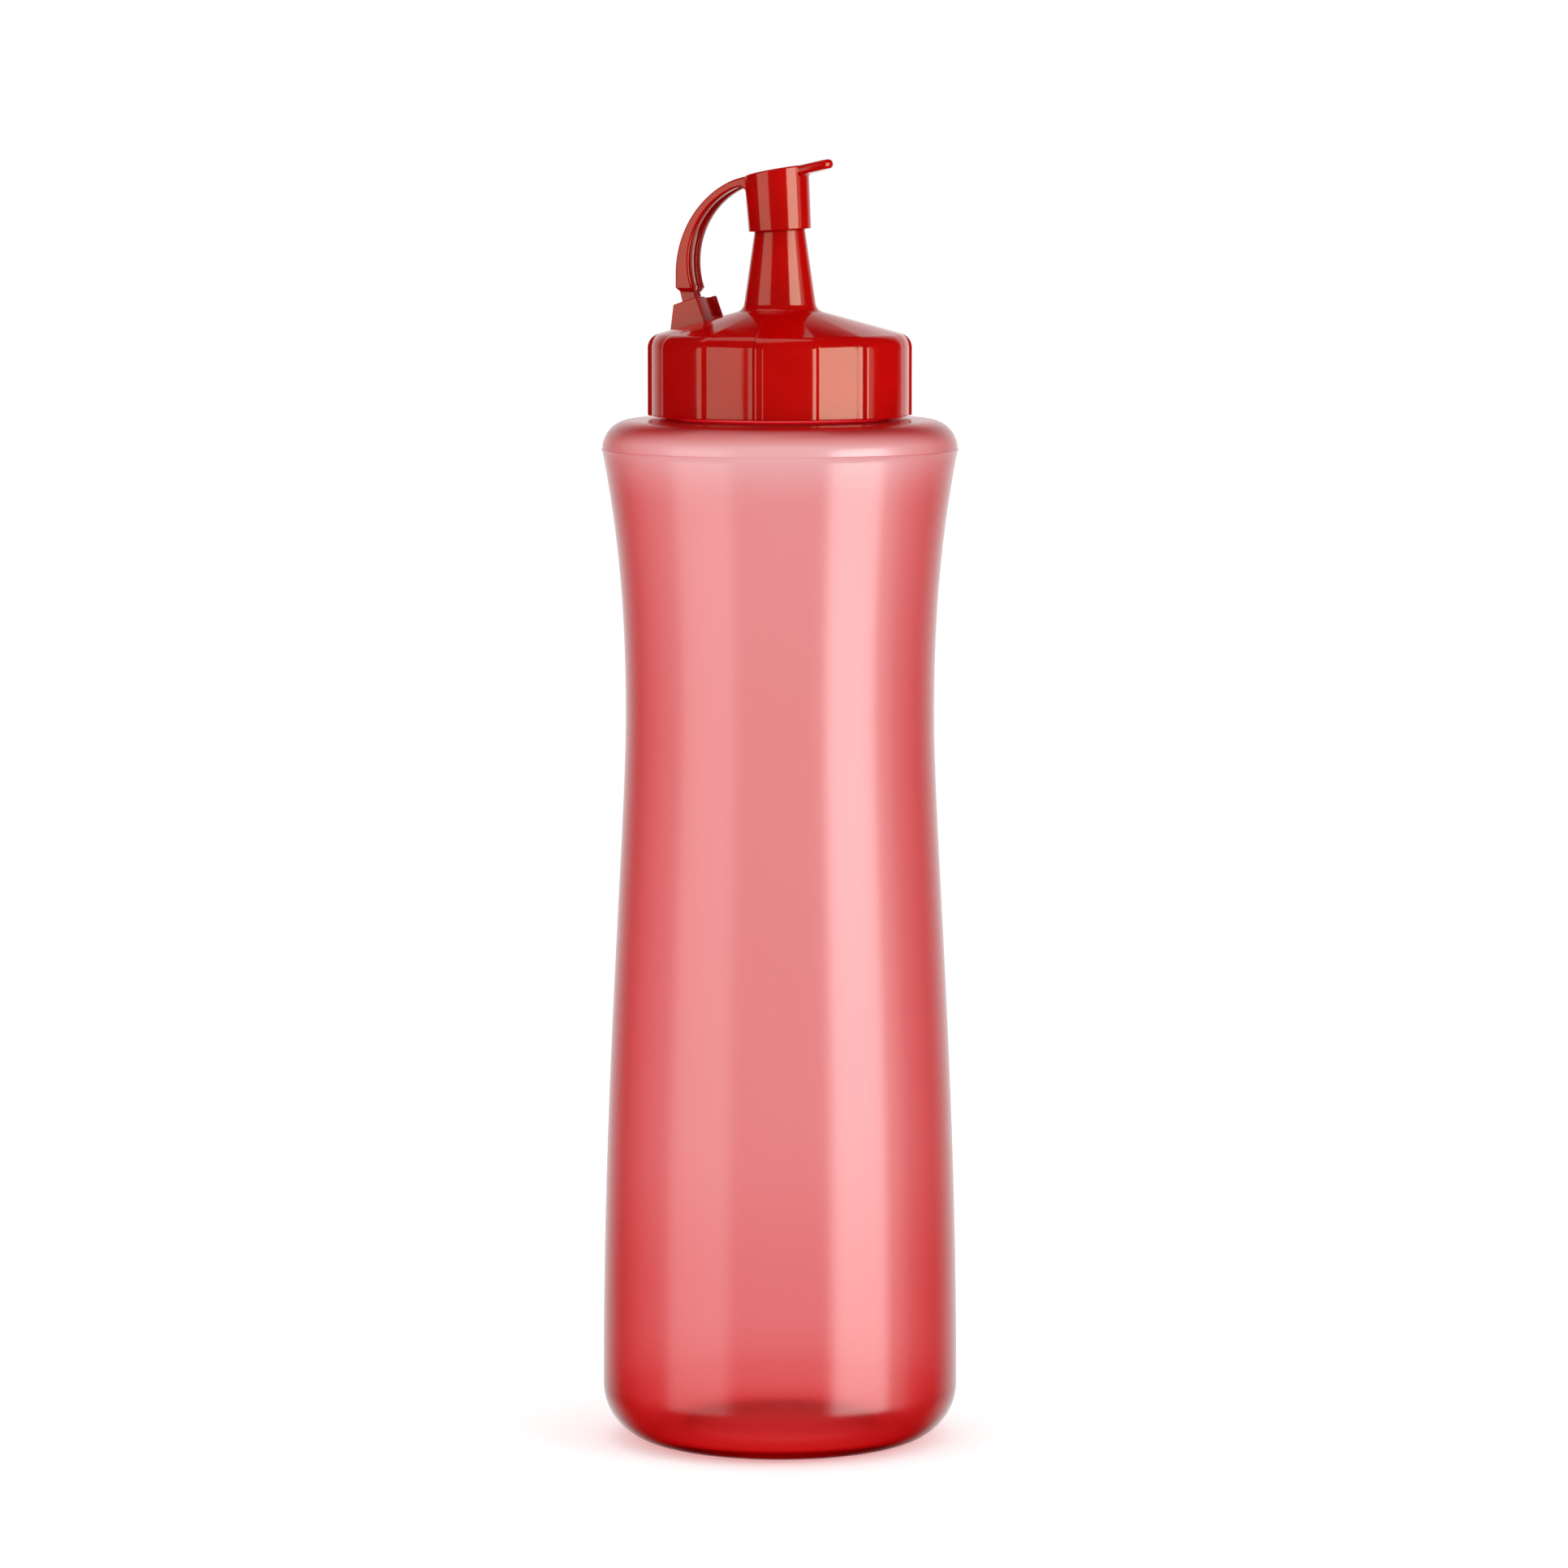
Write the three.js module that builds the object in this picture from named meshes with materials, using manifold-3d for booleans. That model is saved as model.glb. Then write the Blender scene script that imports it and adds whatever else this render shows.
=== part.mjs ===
// A squeeze bottle for sauce with a screw closure, a pouring spout and a flip cover for the spout's tip.
// Sizes are in millimetres. The bottle's axis is Z, and it stands on z = 0.
// The strap that carries the tip cover lies towards -X, and the cover's thumb tab points to +X.
// The strap, its root and the cover are one soft moulding in use. They are separate solids here,
// because the moulding bends in two places: at the strap's foot and at the notch beside the cover.
import * as THREE from 'three';
import { mergeVertices } from 'three/addons/utils/BufferGeometryUtils.js';
import Module from 'manifold-3d';

const wasm = await Module();
wasm.setup();

// Clearances
const touchGap = 0.3; // between pieces that touch on the real object
const cutOverrun = 1; // how far a cutting solid reaches past what it cuts
const fuseDepth = 0.8; // how deep a joined solid is sunk into what carries it

// Bottle body
const baseRadius = 40.3;
const baseCorner = 12.6;
const restRingWidth = 6;
const pushUp = 3.5;
const domeLevelShare = 0.5; // of the dome's radius, how far out it stays level
const domeFootShare = 0.5; // of the push-up, how high the dome's steep edge is drawn
const waistRadius = 34.9;
const waistHeight = 166;
const shoulderRadius = 40.1;
const partingHeight = 225.6; // the faint line under the shoulder, where the mould parts meet
const shoulderCorner = 6.7;
const shoulderRise = 0.3; // the shoulder's top climbs this much from its corner to the neck
const bottleWall = 1.3;
const baseFullness = 70; // how long the side stays upright above the base
const lowerWaistEase = 27;
const upperWaistEase = 17;
const shoulderEase = 23.5;
const shoulderFlare = 11; // degrees that the side leans out at the parting line

// Bottle neck and its thread
const neckRadius = 25;
const neckWall = 1.7;
const neckHeight = 14.7;
const neckFillet = 1;
const threadPitch = 5;
const threadTurns = 1.5;
const threadHeight = 1.6; // how far the ridge stands out of the neck
const threadRoot = 2.1; // width of the ridge where it meets the wall
const threadCrest = 0.9;
const threadGap = 0.7; // between the crest of one thread and the wall of the other piece
const threadStart = 4.8; // from the shoulder to the middle of the lowest ridge
const threadEndShare = 0.25; // of the ridge's height, what is left where it runs out
const threadRunOutSteps = 1.5;

// Seal ring
const sealThickness = 1;
const sealWidth = 4.1;

// Closure
const skirtWall = 1.8; // behind a panel
const skirtLift = 0.9; // from the shoulder to the skirt's lower edge
const skirtCorner = 3.4;
const skirtCornerDrop = 0.5; // from the flat that presses on the seal to where the corner starts
const coneAngle = 15.4; // degrees that the top slopes
const roofThickness = 1.9;
const panelCount = 7;
const panelDepth = 0.7;
const panelFloorAngle = 20.8; // degrees that a panel's flat floor spans
const panelEdgeAngle = 2.7; // degrees that each rounded edge of a panel spans
const panelPhase = -11.1; // degrees from the strap to the nearest panel's middle
const mouthChamfer = 0.5; // at the skirt's inner lower edge

// Spout
const spoutTipRadius = 4.6;
const spoutAngle = 8.1; // degrees of the spout's half taper
const spoutHeight = 23.4; // from where the cone's slope reaches the axis
const spoutFillet = 2.3;
const spoutWall = 1.7;
const orificeRadius = 2;
const orificeLand = 1.4; // length of the narrow hole at the tip
const orificeTaper = 1.4; // length over which the spout's bore narrows to the hole
const orificeChamfer = 0.6;
const boreFlareWidth = 2.3; // where the spout's bore opens into the closure
const boreFlareRise = 1.15;

// Hinge block on the closure
const blockSetBack = 2.3; // from the cone's edge to the block's outer foot
const blockBase = 8.75;
const blockWidth = 10.2;
const blockHeight = 5.2;
const blockOuterLean = 2.2; // how far the outer face leans in over its height
const blockInnerLean = 0.5;
const socketFloor = 0.9; // height of the socket's floor above the cone

// Root of the strap, a tongue that stands in the block's socket, which is open on its inner side
const rootThickness = 3.6; // along the radius
const rootWidth = 3.2;
const rootInset = 0.6; // from the block's outer top edge to the tongue's outer face
const rootShow = 2.85; // from the block's outer top edge up to the strap's foot

// Strap
const strapWidth = 6.8;
const strapStandOut = 0.25; // how far the strap stands out past its root
const strapFootThickness = 3.35;
const strapEndThickness = 2;
const strapFootChamfer = 0.95;
const strapOuterStraight = 4.1; // the outer face is upright this far above the foot
const strapInnerTurn = 6.8; // height above the foot where the inner face is upright
const strapGrooveWidth = 1.7;
const strapGrooveDepth = 0.95;
const strapGrooveLift = 10; // degrees of the inner arc that the groove stays off the foot
const strapFillet = 1.1; // under the strap where it meets the cover

// Tip cover
const coverOverlap = 7.8; // how much of the spout's tip the cover hides
const coverLooseness = 0.39; // between the cover's mouth and the spout
const coverWall = 0.95; // at the mouth
const coverFlare = 0.25; // how much wider the cover is at its top
const coverBoreTaper = 0.4; // how much narrower the bore is at its roof
const coverLength = 13.4; // from the mouth to the top, on the cover's own axis
const coverTilt = 3.7; // degrees that the cover leans towards the strap
const coverSlant = 10.7; // degrees that the top plate climbs towards the tab
const coverRoof = 1.3; // least thickness of the top plate
const coverEdge = 0.4; // rounding of the top plate's rim
const bossRadius = 3.2;
const plugLooseness = 0.5; // between the plug and the spout's hole
const plugTaper = 0.8; // how much narrower the plug is at its end
const plugDepth = 0.8;

// Thumb tab
const tabLength = 6.37; // from the cover's rim to the tab's end
const tabRootShare = 0.5; // of the cover's radius, where the tab's buried root starts
const tabRootHalfWidth = 3.1;
const tabTipRadius = 2.3;
const tabTipSpread = 80; // degrees of the rounded end to each side
const tabThickness = 2.1;
const tabSlant = 12.7; // degrees that the tab climbs
const tabEdge = 0.7;
const tabGusset = 1.2;

// How finely round shapes are divided
const bottleSegments = 48;
const insideSegments = 32;
const closureSegments = 48;
const spoutSegments = 28;
const coverSegments = 32;
const threadStepsPerTurn = 24;
const panelEdgeSteps = 2;
const panelFloorSteps = 3;
const bandSteps = 4;
const outerSteps = { corner: 5, lower: 11, upper: 9, dome: 5 };
const innerSteps = { corner: 4, lower: 7, upper: 6, dome: 4 };
const neckFilletSteps = 3;
const skirtCornerSteps = 5;
const spoutFilletSteps = 4;
const strapArcSteps = 12;
const tabTipSteps = 10;
const tabEdgeSteps = 2;

const radians = THREE.MathUtils.degToRad;
const degrees = THREE.MathUtils.radToDeg;
const quarterTurn = Math.PI / 2;

// Places worked out from the sizes
const shoulderTop = partingHeight + shoulderCorner;
const neckFoot = shoulderTop + shoulderRise;
const lipTop = neckFoot + neckHeight;
const neckBore = neckRadius - neckWall;
const threadCrestRadius = neckRadius + threadHeight;
const skirtInside = threadCrestRadius + threadGap;
const skirtRadius = skirtInside + skirtWall + panelDepth;
const skirtBottom = shoulderTop + skirtLift;
const sealBottom = lipTop + touchGap;
const sealTop = sealBottom + sealThickness;
const sealLand = sealTop + touchGap; // the flat inside the closure that presses on the ring
const sealOuter = skirtInside - touchGap;
const sealInner = sealOuter - sealWidth;
const skirtCornerHeight = sealLand - skirtCornerDrop;
const coneSlope = Math.tan(radians(coneAngle));
const coneSine = Math.sin(radians(coneAngle));
const coneCosine = Math.cos(radians(coneAngle));
const coneEdgeRadius = skirtRadius - skirtCorner + skirtCorner * coneSine;
const coneEdgeHeight = skirtCornerHeight + skirtCorner * coneCosine;
const coneApex = coneEdgeHeight + coneEdgeRadius * coneSlope;
const blockReach = coneEdgeRadius - blockSetBack; // from the axis to the block's outer foot
const spoutTip = coneApex + spoutHeight;
const spoutSlope = Math.tan(radians(spoutAngle));
const coneHeightAt = (radius) => coneApex - radius * coneSlope;
const spoutRadiusAt = (height) => spoutTipRadius + (spoutTip - height) * spoutSlope;
const coverMouth = spoutTip - coverOverlap;
const coverMouthBore = spoutRadiusAt(coverMouth) + coverLooseness;
const coverMouthRadius = coverMouthBore + coverWall;
const coverTopRadius = coverMouthRadius + coverFlare;
const coverRoofBore = coverMouthBore - coverBoreTaper;
const coverPlateSlope = Math.tan(radians(coverSlant));
const coverTop = coverMouth + coverLength * Math.cos(radians(coverTilt));
const coverTopOffset = -coverLength * Math.sin(radians(coverTilt));
const plugRadius = orificeRadius - plugLooseness;
const plugTipRadius = plugRadius - plugTaper;
const strapEnd = coverTopOffset - coverTopRadius; // where the cover's side is, towards the strap
const plateHeightAt = (x) => coverTop + (x - coverTopOffset) * coverPlateSlope;

// Closed meshes become solids here, and solids become named meshes again
function solidOf(geometry) {
  geometry.deleteAttribute('normal');
  geometry.deleteAttribute('uv');
  const welded = mergeVertices(geometry);
  const corners = Array.from(welded.index.array);
  const kept = [];
  for (let i = 0; i < corners.length; i += 3) {
    const [a, b, c] = corners.slice(i, i + 3);
    if (a !== b && b !== c && c !== a) kept.push(a, b, c);
  }
  const vertProperties = new Float32Array(welded.attributes.position.array);
  return new wasm.Manifold(new wasm.Mesh({ numProp: 3, vertProperties, triVerts: new Uint32Array(kept) }));
}

function pieceOf(name, solid, finish) {
  const mesh = solid.getMesh();
  const geometry = new THREE.BufferGeometry();
  geometry.setAttribute('position', new THREE.BufferAttribute(new Float32Array(mesh.vertProperties), 3));
  geometry.setIndex(new THREE.BufferAttribute(new Uint32Array(mesh.triVerts), 1));
  geometry.computeVertexNormals();
  const piece = new THREE.Mesh(geometry, new THREE.MeshStandardMaterial(finish));
  piece.name = name;
  return piece;
}

// Outlines are lists of points, radius or x first and height second
const at = (across, height) => new THREE.Vector2(across, height);

function arc(centre, radius, fromAngle, toAngle, steps) {
  const points = [];
  for (let i = 0; i <= steps; i += 1) {
    const angle = radians(fromAngle + ((toAngle - fromAngle) * i) / steps);
    points.push(at(centre.x + radius * Math.cos(angle), centre.y + radius * Math.sin(angle)));
  }
  return points;
}

// Moves an outline towards its left by a distance, along the mean normal at each point
function inset(points, distance) {
  return points.map((here, i) => {
    const before = points[Math.max(i - 1, 0)];
    const after = points[Math.min(i + 1, points.length - 1)];
    const along = after.clone().sub(before).normalize();
    return at(here.x - along.y * distance, here.y + along.x * distance);
  });
}

// A round shape about Z from an outline that climbs on its outside
function turned(outline, segments) {
  return new THREE.LatheGeometry(outline, segments).rotateX(quarterTurn);
}

// A flat slab in the XZ plane, centred on y = 0
function slab(outline, width) {
  const shape = new THREE.Shape(outline);
  const geometry = new THREE.ExtrudeGeometry(shape, { depth: width, bevelEnabled: false });
  return geometry.rotateX(quarterTurn).translate(0, width / 2, 0);
}

// A closed skin over a stack of rings, which all have as many points, with a fan at each end
function skinned(rings) {
  const count = rings[0].length;
  const positions = rings.flat();
  const faces = [];
  for (let i = 0; i + 1 < rings.length; i += 1) {
    for (let j = 0; j < count; j += 1) {
      const next = (j + 1) % count;
      const [a, b] = [i * count + j, i * count + next];
      faces.push(a, b, b + count, a, b + count, a + count);
    }
  }
  [rings[0], rings.at(-1)].forEach((ring, end) => {
    const middle = ring.reduce((sum, p) => sum.add(p), new THREE.Vector3()).divideScalar(count);
    const first = end * (rings.length - 1) * count;
    positions.push(middle);
    for (let j = 0; j < count; j += 1) {
      const [here, next] = [first + j, first + ((j + 1) % count)];
      faces.push(...(end ? [here, next, positions.length - 1] : [next, here, positions.length - 1]));
    }
  });
  const geometry = new THREE.BufferGeometry().setFromPoints(positions);
  return geometry.setIndex(faces);
}

// A thread ridge on a wall, outwards for side = 1 and inwards for side = -1, run out at both ends
function threadRidge(wallRadius, side, firstHeight) {
  const steps = Math.round(threadStepsPerTurn * threadTurns);
  const rings = [];
  for (let i = 0; i <= steps; i += 1) {
    const angle = (2 * Math.PI * i) / threadStepsPerTurn;
    const height = firstHeight + (threadPitch * i) / threadStepsPerTurn;
    const runOut = Math.min(1, threadEndShare + Math.min(i, steps - i) / threadRunOutSteps);
    const crest = wallRadius + side * threadHeight * runOut;
    const root = wallRadius - side * fuseDepth;
    const spot = (radius, z) => new THREE.Vector3(radius * Math.cos(angle), radius * Math.sin(angle), z);
    const ring = [
      spot(root, height - threadRoot / 2),
      spot(crest, height - threadCrest / 2),
      spot(crest, height + threadCrest / 2),
      spot(root, height + threadRoot / 2),
    ];
    rings.push(side > 0 ? ring.reverse() : ring);
  }
  return skinned(rings);
}

// Bottle: a blown shell with a waist, a round shoulder, a threaded neck and a pushed-up base
function bottleSide(steps) {
  const flare = radians(shoulderFlare);
  const lower = new THREE.CubicBezierCurve(
    at(baseRadius, baseCorner),
    at(baseRadius, baseCorner + baseFullness),
    at(waistRadius, waistHeight - lowerWaistEase),
    at(waistRadius, waistHeight),
  );
  const upper = new THREE.CubicBezierCurve(
    at(waistRadius, waistHeight),
    at(waistRadius, waistHeight + upperWaistEase),
    at(shoulderRadius - shoulderEase * Math.sin(flare), partingHeight - shoulderEase * Math.cos(flare)),
    at(shoulderRadius, partingHeight),
  );
  return [
    ...arc(at(baseRadius - baseCorner, baseCorner), baseCorner, -90, 0, steps.corner),
    ...lower.getPoints(steps.lower).slice(1),
    ...upper.getPoints(steps.upper).slice(1),
    ...arc(at(shoulderRadius - shoulderCorner, partingHeight), shoulderCorner, 0, 90, steps.corner).slice(1),
  ];
}

function bottle() {
  const restOuter = baseRadius - baseCorner;
  const restInner = restOuter - restRingWidth;
  const dome = new THREE.CubicBezierCurve(
    at(0, pushUp),
    at(restInner * domeLevelShare, pushUp),
    at(restInner - pushUp, pushUp * domeFootShare),
    at(restInner, 0),
  );
  const outside = [
    ...dome.getPoints(outerSteps.dome),
    ...bottleSide(outerSteps),
    ...arc(at(neckRadius + neckFillet, neckFoot + neckFillet), neckFillet, 270, 180, neckFilletSteps),
    at(neckRadius, lipTop),
    at(0, lipTop),
  ];
  const floor = inset(dome.getPoints(innerSteps.dome), bottleWall).slice(0, -1);
  floor[0].x = 0;
  const inside = [
    ...floor,
    ...inset(bottleSide(innerSteps), bottleWall).slice(1),
    at(neckBore, shoulderTop - bottleWall),
    at(neckBore, lipTop + cutOverrun),
    at(0, lipTop + cutOverrun),
  ];
  return solidOf(turned(outside, bottleSegments))
    .add(solidOf(threadRidge(neckRadius, 1, neckFoot + threadStart)))
    .subtract(solidOf(turned(inside, insideSegments)));
}

// Seal ring: a flat washer between the bottle's lip and the closure
function sealRing() {
  const section = [
    at(sealInner, sealBottom),
    at(sealOuter, sealBottom),
    at(sealOuter, sealTop),
    at(sealInner, sealTop),
    at(sealInner, sealBottom),
  ];
  return solidOf(turned(section, closureSegments));
}

// Closure: a threaded skirt with seven sunk panels, a shallow cone and a tapered spout
function panelShareAt(angle) {
  const pitch = 360 / panelCount;
  const turn = (((angle - panelPhase) % pitch) + pitch) % pitch;
  const fromMiddle = Math.min(turn, pitch - turn);
  const past = (fromMiddle - panelFloorAngle / 2) / panelEdgeAngle;
  const ramp = Math.min(Math.max(past, 0), 1);
  return (1 + Math.cos(Math.PI * ramp)) / 2;
}

function closureColumns() {
  const pitch = 360 / panelCount;
  const half = panelFloorAngle / 2;
  const band = pitch - panelFloorAngle - 2 * panelEdgeAngle;
  const columns = [];
  for (let panel = 0; panel < panelCount; panel += 1) {
    const middle = panelPhase + panel * pitch;
    const run = (from, span, steps) => {
      for (let i = 0; i < steps; i += 1) columns.push(middle + from + (span * i) / steps);
    };
    run(-half, panelFloorAngle, panelFloorSteps);
    run(half, panelEdgeAngle, panelEdgeSteps);
    run(half + panelEdgeAngle, band, bandSteps);
    run(half + panelEdgeAngle + band, panelEdgeAngle, panelEdgeSteps);
  }
  return columns;
}

function closureShell(footRadius) {
  const cornerCentre = at(skirtRadius - skirtCorner, skirtCornerHeight);
  const ringAt = (radius, height, sinkR, sinkZ) =>
    closureColumns().map((column) => {
      const share = panelShareAt(column);
      const angle = Math.PI + radians(column);
      const r = radius - sinkR * share;
      return new THREE.Vector3(r * Math.cos(angle), r * Math.sin(angle), height - sinkZ * share);
    });
  const rings = [ringAt(skirtRadius, skirtBottom, panelDepth, 0)];
  for (let i = 0; i <= skirtCornerSteps; i += 1) {
    const share = i / skirtCornerSteps;
    const angle = radians((90 - coneAngle) * share);
    const [out, up] = [Math.cos(angle), Math.sin(angle)];
    const sink = panelDepth * Math.cos(quarterTurn * share);
    const [r, z] = [cornerCentre.x + skirtCorner * out, cornerCentre.y + skirtCorner * up];
    rings.push(ringAt(r, z, sink * out, sink * up));
  }
  rings.push(ringAt(footRadius, coneHeightAt(footRadius), 0, 0));
  return skinned(rings);
}

// The spout's fillet touches the cone and the spout's side
function spoutFoot() {
  const spoutCosine = Math.cos(radians(spoutAngle));
  const rise = spoutFillet / coneCosine;
  const reach = spoutFillet / spoutCosine;
  // the fillet's middle lies a radius above the cone and a radius out of the spout's side
  const height = (coneApex + rise - coneSlope * (spoutTipRadius + reach + spoutTip * spoutSlope))
    / (1 - coneSlope * spoutSlope);
  return at(spoutRadiusAt(height) + reach, height);
}

function spout() {
  const centre = spoutFoot();
  const fillet = arc(centre, spoutFillet, 270 - coneAngle, 180 + spoutAngle, spoutFilletSteps);
  return turned([
    at(0, fillet[0].y - fuseDepth),
    at(fillet[0].x, fillet[0].y - fuseDepth),
    ...fillet,
    at(spoutTipRadius, spoutTip),
    at(0, spoutTip),
  ], spoutSegments);
}

function closureInside() {
  const roofDrop = roofThickness / coneCosine;
  const innerConeAt = (radius) => coneHeightAt(radius) - roofDrop;
  const coneStart = Math.min((coneApex - roofDrop - sealLand) / coneSlope, sealInner);
  const boreFoot = spoutRadiusAt(coneApex) - spoutWall;
  const boreTop = spoutTip - orificeLand - orificeTaper;
  return turned([
    at(0, skirtBottom - cutOverrun),
    at(skirtInside + mouthChamfer + cutOverrun, skirtBottom - cutOverrun),
    at(skirtInside, skirtBottom + mouthChamfer),
    at(skirtInside, sealLand),
    at(coneStart, sealLand),
    at(boreFoot + boreFlareWidth, innerConeAt(boreFoot + boreFlareWidth)),
    at(boreFoot, coneApex - roofDrop + boreFlareRise),
    at(spoutRadiusAt(boreTop) - spoutWall, boreTop),
    at(orificeRadius, spoutTip - orificeLand),
    at(orificeRadius, spoutTip - orificeChamfer),
    at(orificeRadius + orificeChamfer + cutOverrun, spoutTip + cutOverrun),
    at(0, spoutTip + cutOverrun),
  ], closureSegments);
}

// Places on the hinge block: along the cone towards the axis, and square off the cone
const onBlock = (along, up) => at(
  -blockReach + along * coneCosine - up * coneSine,
  coneHeightAt(blockReach) + along * coneSine + up * coneCosine,
);

function hingeBlock() {
  const outer = blockOuterLean / blockHeight;
  const inner = blockInnerLean / blockHeight;
  return slab([
    onBlock(-fuseDepth * outer, -fuseDepth),
    onBlock(blockBase + fuseDepth * inner, -fuseDepth),
    onBlock(blockBase - blockInnerLean, blockHeight),
    onBlock(blockOuterLean, blockHeight),
  ], blockWidth);
}

const rootNear = blockOuterLean + rootInset;
const rootFar = rootNear + rootThickness;

function rootSocket() {
  return slab([
    onBlock(rootNear - touchGap, socketFloor),
    onBlock(blockBase + cutOverrun, socketFloor),
    onBlock(blockBase + cutOverrun, blockHeight + cutOverrun),
    onBlock(rootNear - touchGap, blockHeight + cutOverrun),
  ], rootWidth + 2 * touchGap);
}

function closure() {
  const fillet = spoutFoot();
  const footRadius = fillet.x - spoutFillet;
  return solidOf(closureShell(footRadius))
    .add(solidOf(spout()))
    .add(solidOf(hingeBlock()))
    .subtract(solidOf(closureInside()))
    .add(solidOf(threadRidge(skirtInside, -1, neckFoot + threadStart - threadPitch / 2)))
    .subtract(solidOf(rootSocket()));
}

// Strap root: the tongue that stands in the block's socket, cut level under the strap's foot
const strapFoot = onBlock(blockOuterLean, blockHeight).y + rootShow;
const rootTop = (along) => onBlock(along, (strapFoot - touchGap - onBlock(along, 0).y) / coneCosine);

function strapRoot() {
  return solidOf(slab([
    onBlock(rootNear, socketFloor + touchGap),
    onBlock(rootFar, socketFloor + touchGap),
    rootTop(rootFar),
    rootTop(rootNear),
  ], rootWidth));
}

// Strap: a curved arm with two ribs on its inner side
// An arc that is upright at a start point and passes through an end point
function uprightArc(start, end) {
  const across = end.x - start.x;
  const rise = end.y - start.y;
  const radius = (across * across + rise * rise) / (2 * across);
  const centre = at(start.x + radius, start.y);
  const endAngle = degrees(Math.atan2(rise, end.x - centre.x));
  return { centre, radius, endAngle };
}

function strap() {
  const outerX = rootTop(rootNear).x - strapStandOut;
  const innerX = outerX + strapFootThickness;
  const endTop = at(strapEnd + cutOverrun, plateHeightAt(strapEnd + cutOverrun));
  const endUnder = at(strapEnd - strapFillet, plateHeightAt(strapEnd) - strapEndThickness);
  const outer = uprightArc(at(outerX, strapFoot + strapOuterStraight), endTop);
  const inner = uprightArc(at(innerX, strapFoot + strapInnerTurn), endUnder);
  const footAngle = 180 + degrees(Math.asin(strapInnerTurn / inner.radius));
  const grooveAngle = footAngle - strapGrooveLift;
  const arm = slab([
    at(outerX + strapFootChamfer, strapFoot),
    ...arc(inner.centre, inner.radius, footAngle, inner.endAngle, strapArcSteps),
    at(strapEnd + cutOverrun, endUnder.y - strapFillet),
    ...arc(outer.centre, outer.radius, outer.endAngle, 180, strapArcSteps),
    at(outerX, strapFoot + strapFootChamfer),
  ], strapWidth);
  const groove = slab([
    ...arc(inner.centre, inner.radius + strapGrooveDepth, grooveAngle, inner.endAngle, strapArcSteps),
    ...arc(inner.centre, inner.radius - cutOverrun, inner.endAngle, grooveAngle, strapArcSteps),
  ], strapGrooveWidth);
  return solidOf(arm).subtract(solidOf(groove)).subtract(solidOf(coverEnvelope()));
}

// Tip cover: a capped tube with a slanted top, a thumb tab and a plug for the spout's hole
// It is drawn on its own axis from its mouth, and then leans over towards the strap.
const plateClimb = Math.tan(radians(coverSlant - coverTilt));

function leaned(geometry) {
  return geometry.rotateY(-radians(coverTilt)).translate(0, 0, coverMouth);
}

function coverEnvelope() {
  const widest = coverTopRadius + touchGap;
  return leaned(turned([
    at(0, -cutOverrun),
    at(widest, -cutOverrun),
    at(widest, coverLength + coverTopRadius),
    at(0, coverLength + coverTopRadius),
  ], coverSegments));
}

function coverBody() {
  const ring = (radius, height, slant) => {
    const points = [];
    for (let i = 0; i < coverSegments; i += 1) {
      const angle = (2 * Math.PI * i) / coverSegments;
      const x = radius * Math.cos(angle);
      points.push(new THREE.Vector3(x, radius * Math.sin(angle), height + x * slant));
    }
    return points;
  };
  return skinned([
    ring(coverMouthRadius, 0, 0),
    ring(coverTopRadius, coverLength - coverEdge, plateClimb),
    ring(coverTopRadius - coverEdge, coverLength, plateClimb),
  ]);
}

function coverBore() {
  const tilt = radians(coverTilt);
  const roof = coverLength - coverRoofBore * plateClimb - coverRoof;
  const bossFace = coverOverlap / Math.cos(tilt) + touchGap + bossRadius * Math.tan(tilt);
  return turned([
    at(0, -cutOverrun),
    at(coverMouthBore, -cutOverrun),
    at(coverMouthBore, 0),
    at(coverRoofBore, roof),
    at(bossRadius, roof),
    at(bossRadius, bossFace),
    at(plugRadius, bossFace),
    at(plugTipRadius, bossFace - plugDepth),
    at(0, bossFace - plugDepth),
  ], coverSegments);
}

function thumbTab() {
  const climb = Math.tan(radians(tabSlant));
  const rimX = coverTopOffset + coverTopRadius;
  const rootX = coverTopRadius * tabRootShare;
  const tipCentre = rimX + tabLength - tabTipRadius;
  const plan = new THREE.Shape([
    at(rootX, -tabRootHalfWidth),
    ...arc(at(tipCentre, 0), tabTipRadius, -tabTipSpread, tabTipSpread, tabTipSteps),
    at(rootX, tabRootHalfWidth),
  ]);
  const geometry = new THREE.ExtrudeGeometry(plan, {
    depth: tabThickness - 2 * tabEdge,
    bevelThickness: tabEdge,
    bevelSize: tabEdge,
    bevelOffset: -tabEdge,
    bevelSegments: tabEdgeSteps,
  });
  geometry.translate(-rimX, 0, tabEdge - tabThickness);
  geometry.rotateY(-radians(tabSlant));
  geometry.translate(rimX, 0, plateHeightAt(rimX));
  const under = plateHeightAt(rimX) - tabThickness;
  const gusset = slab([
    at(rootX, under - tabGusset),
    at(rimX - coverEdge, under - tabGusset),
    at(rimX + tabGusset, under + tabGusset * climb),
    at(rimX + tabGusset, under + tabThickness / 2),
    at(rootX, under + tabThickness / 2 - (rimX - rootX) * climb),
  ], 2 * (tabRootHalfWidth - tabEdge));
  return solidOf(geometry).add(solidOf(gusset));
}

function tipCover() {
  return solidOf(leaned(coverBody())).add(thumbTab()).subtract(solidOf(leaned(coverBore())));
}

const closureFinish = { color: 0xbe0000, roughness: 0.18, metalness: 0 };
const bottleFinish = { color: 0xdf7a7e, roughness: 0.42, metalness: 0, transparent: true, opacity: 0.75 };
const sealFinish = { color: 0xe8e4dc, roughness: 0.6, metalness: 0 };

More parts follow.
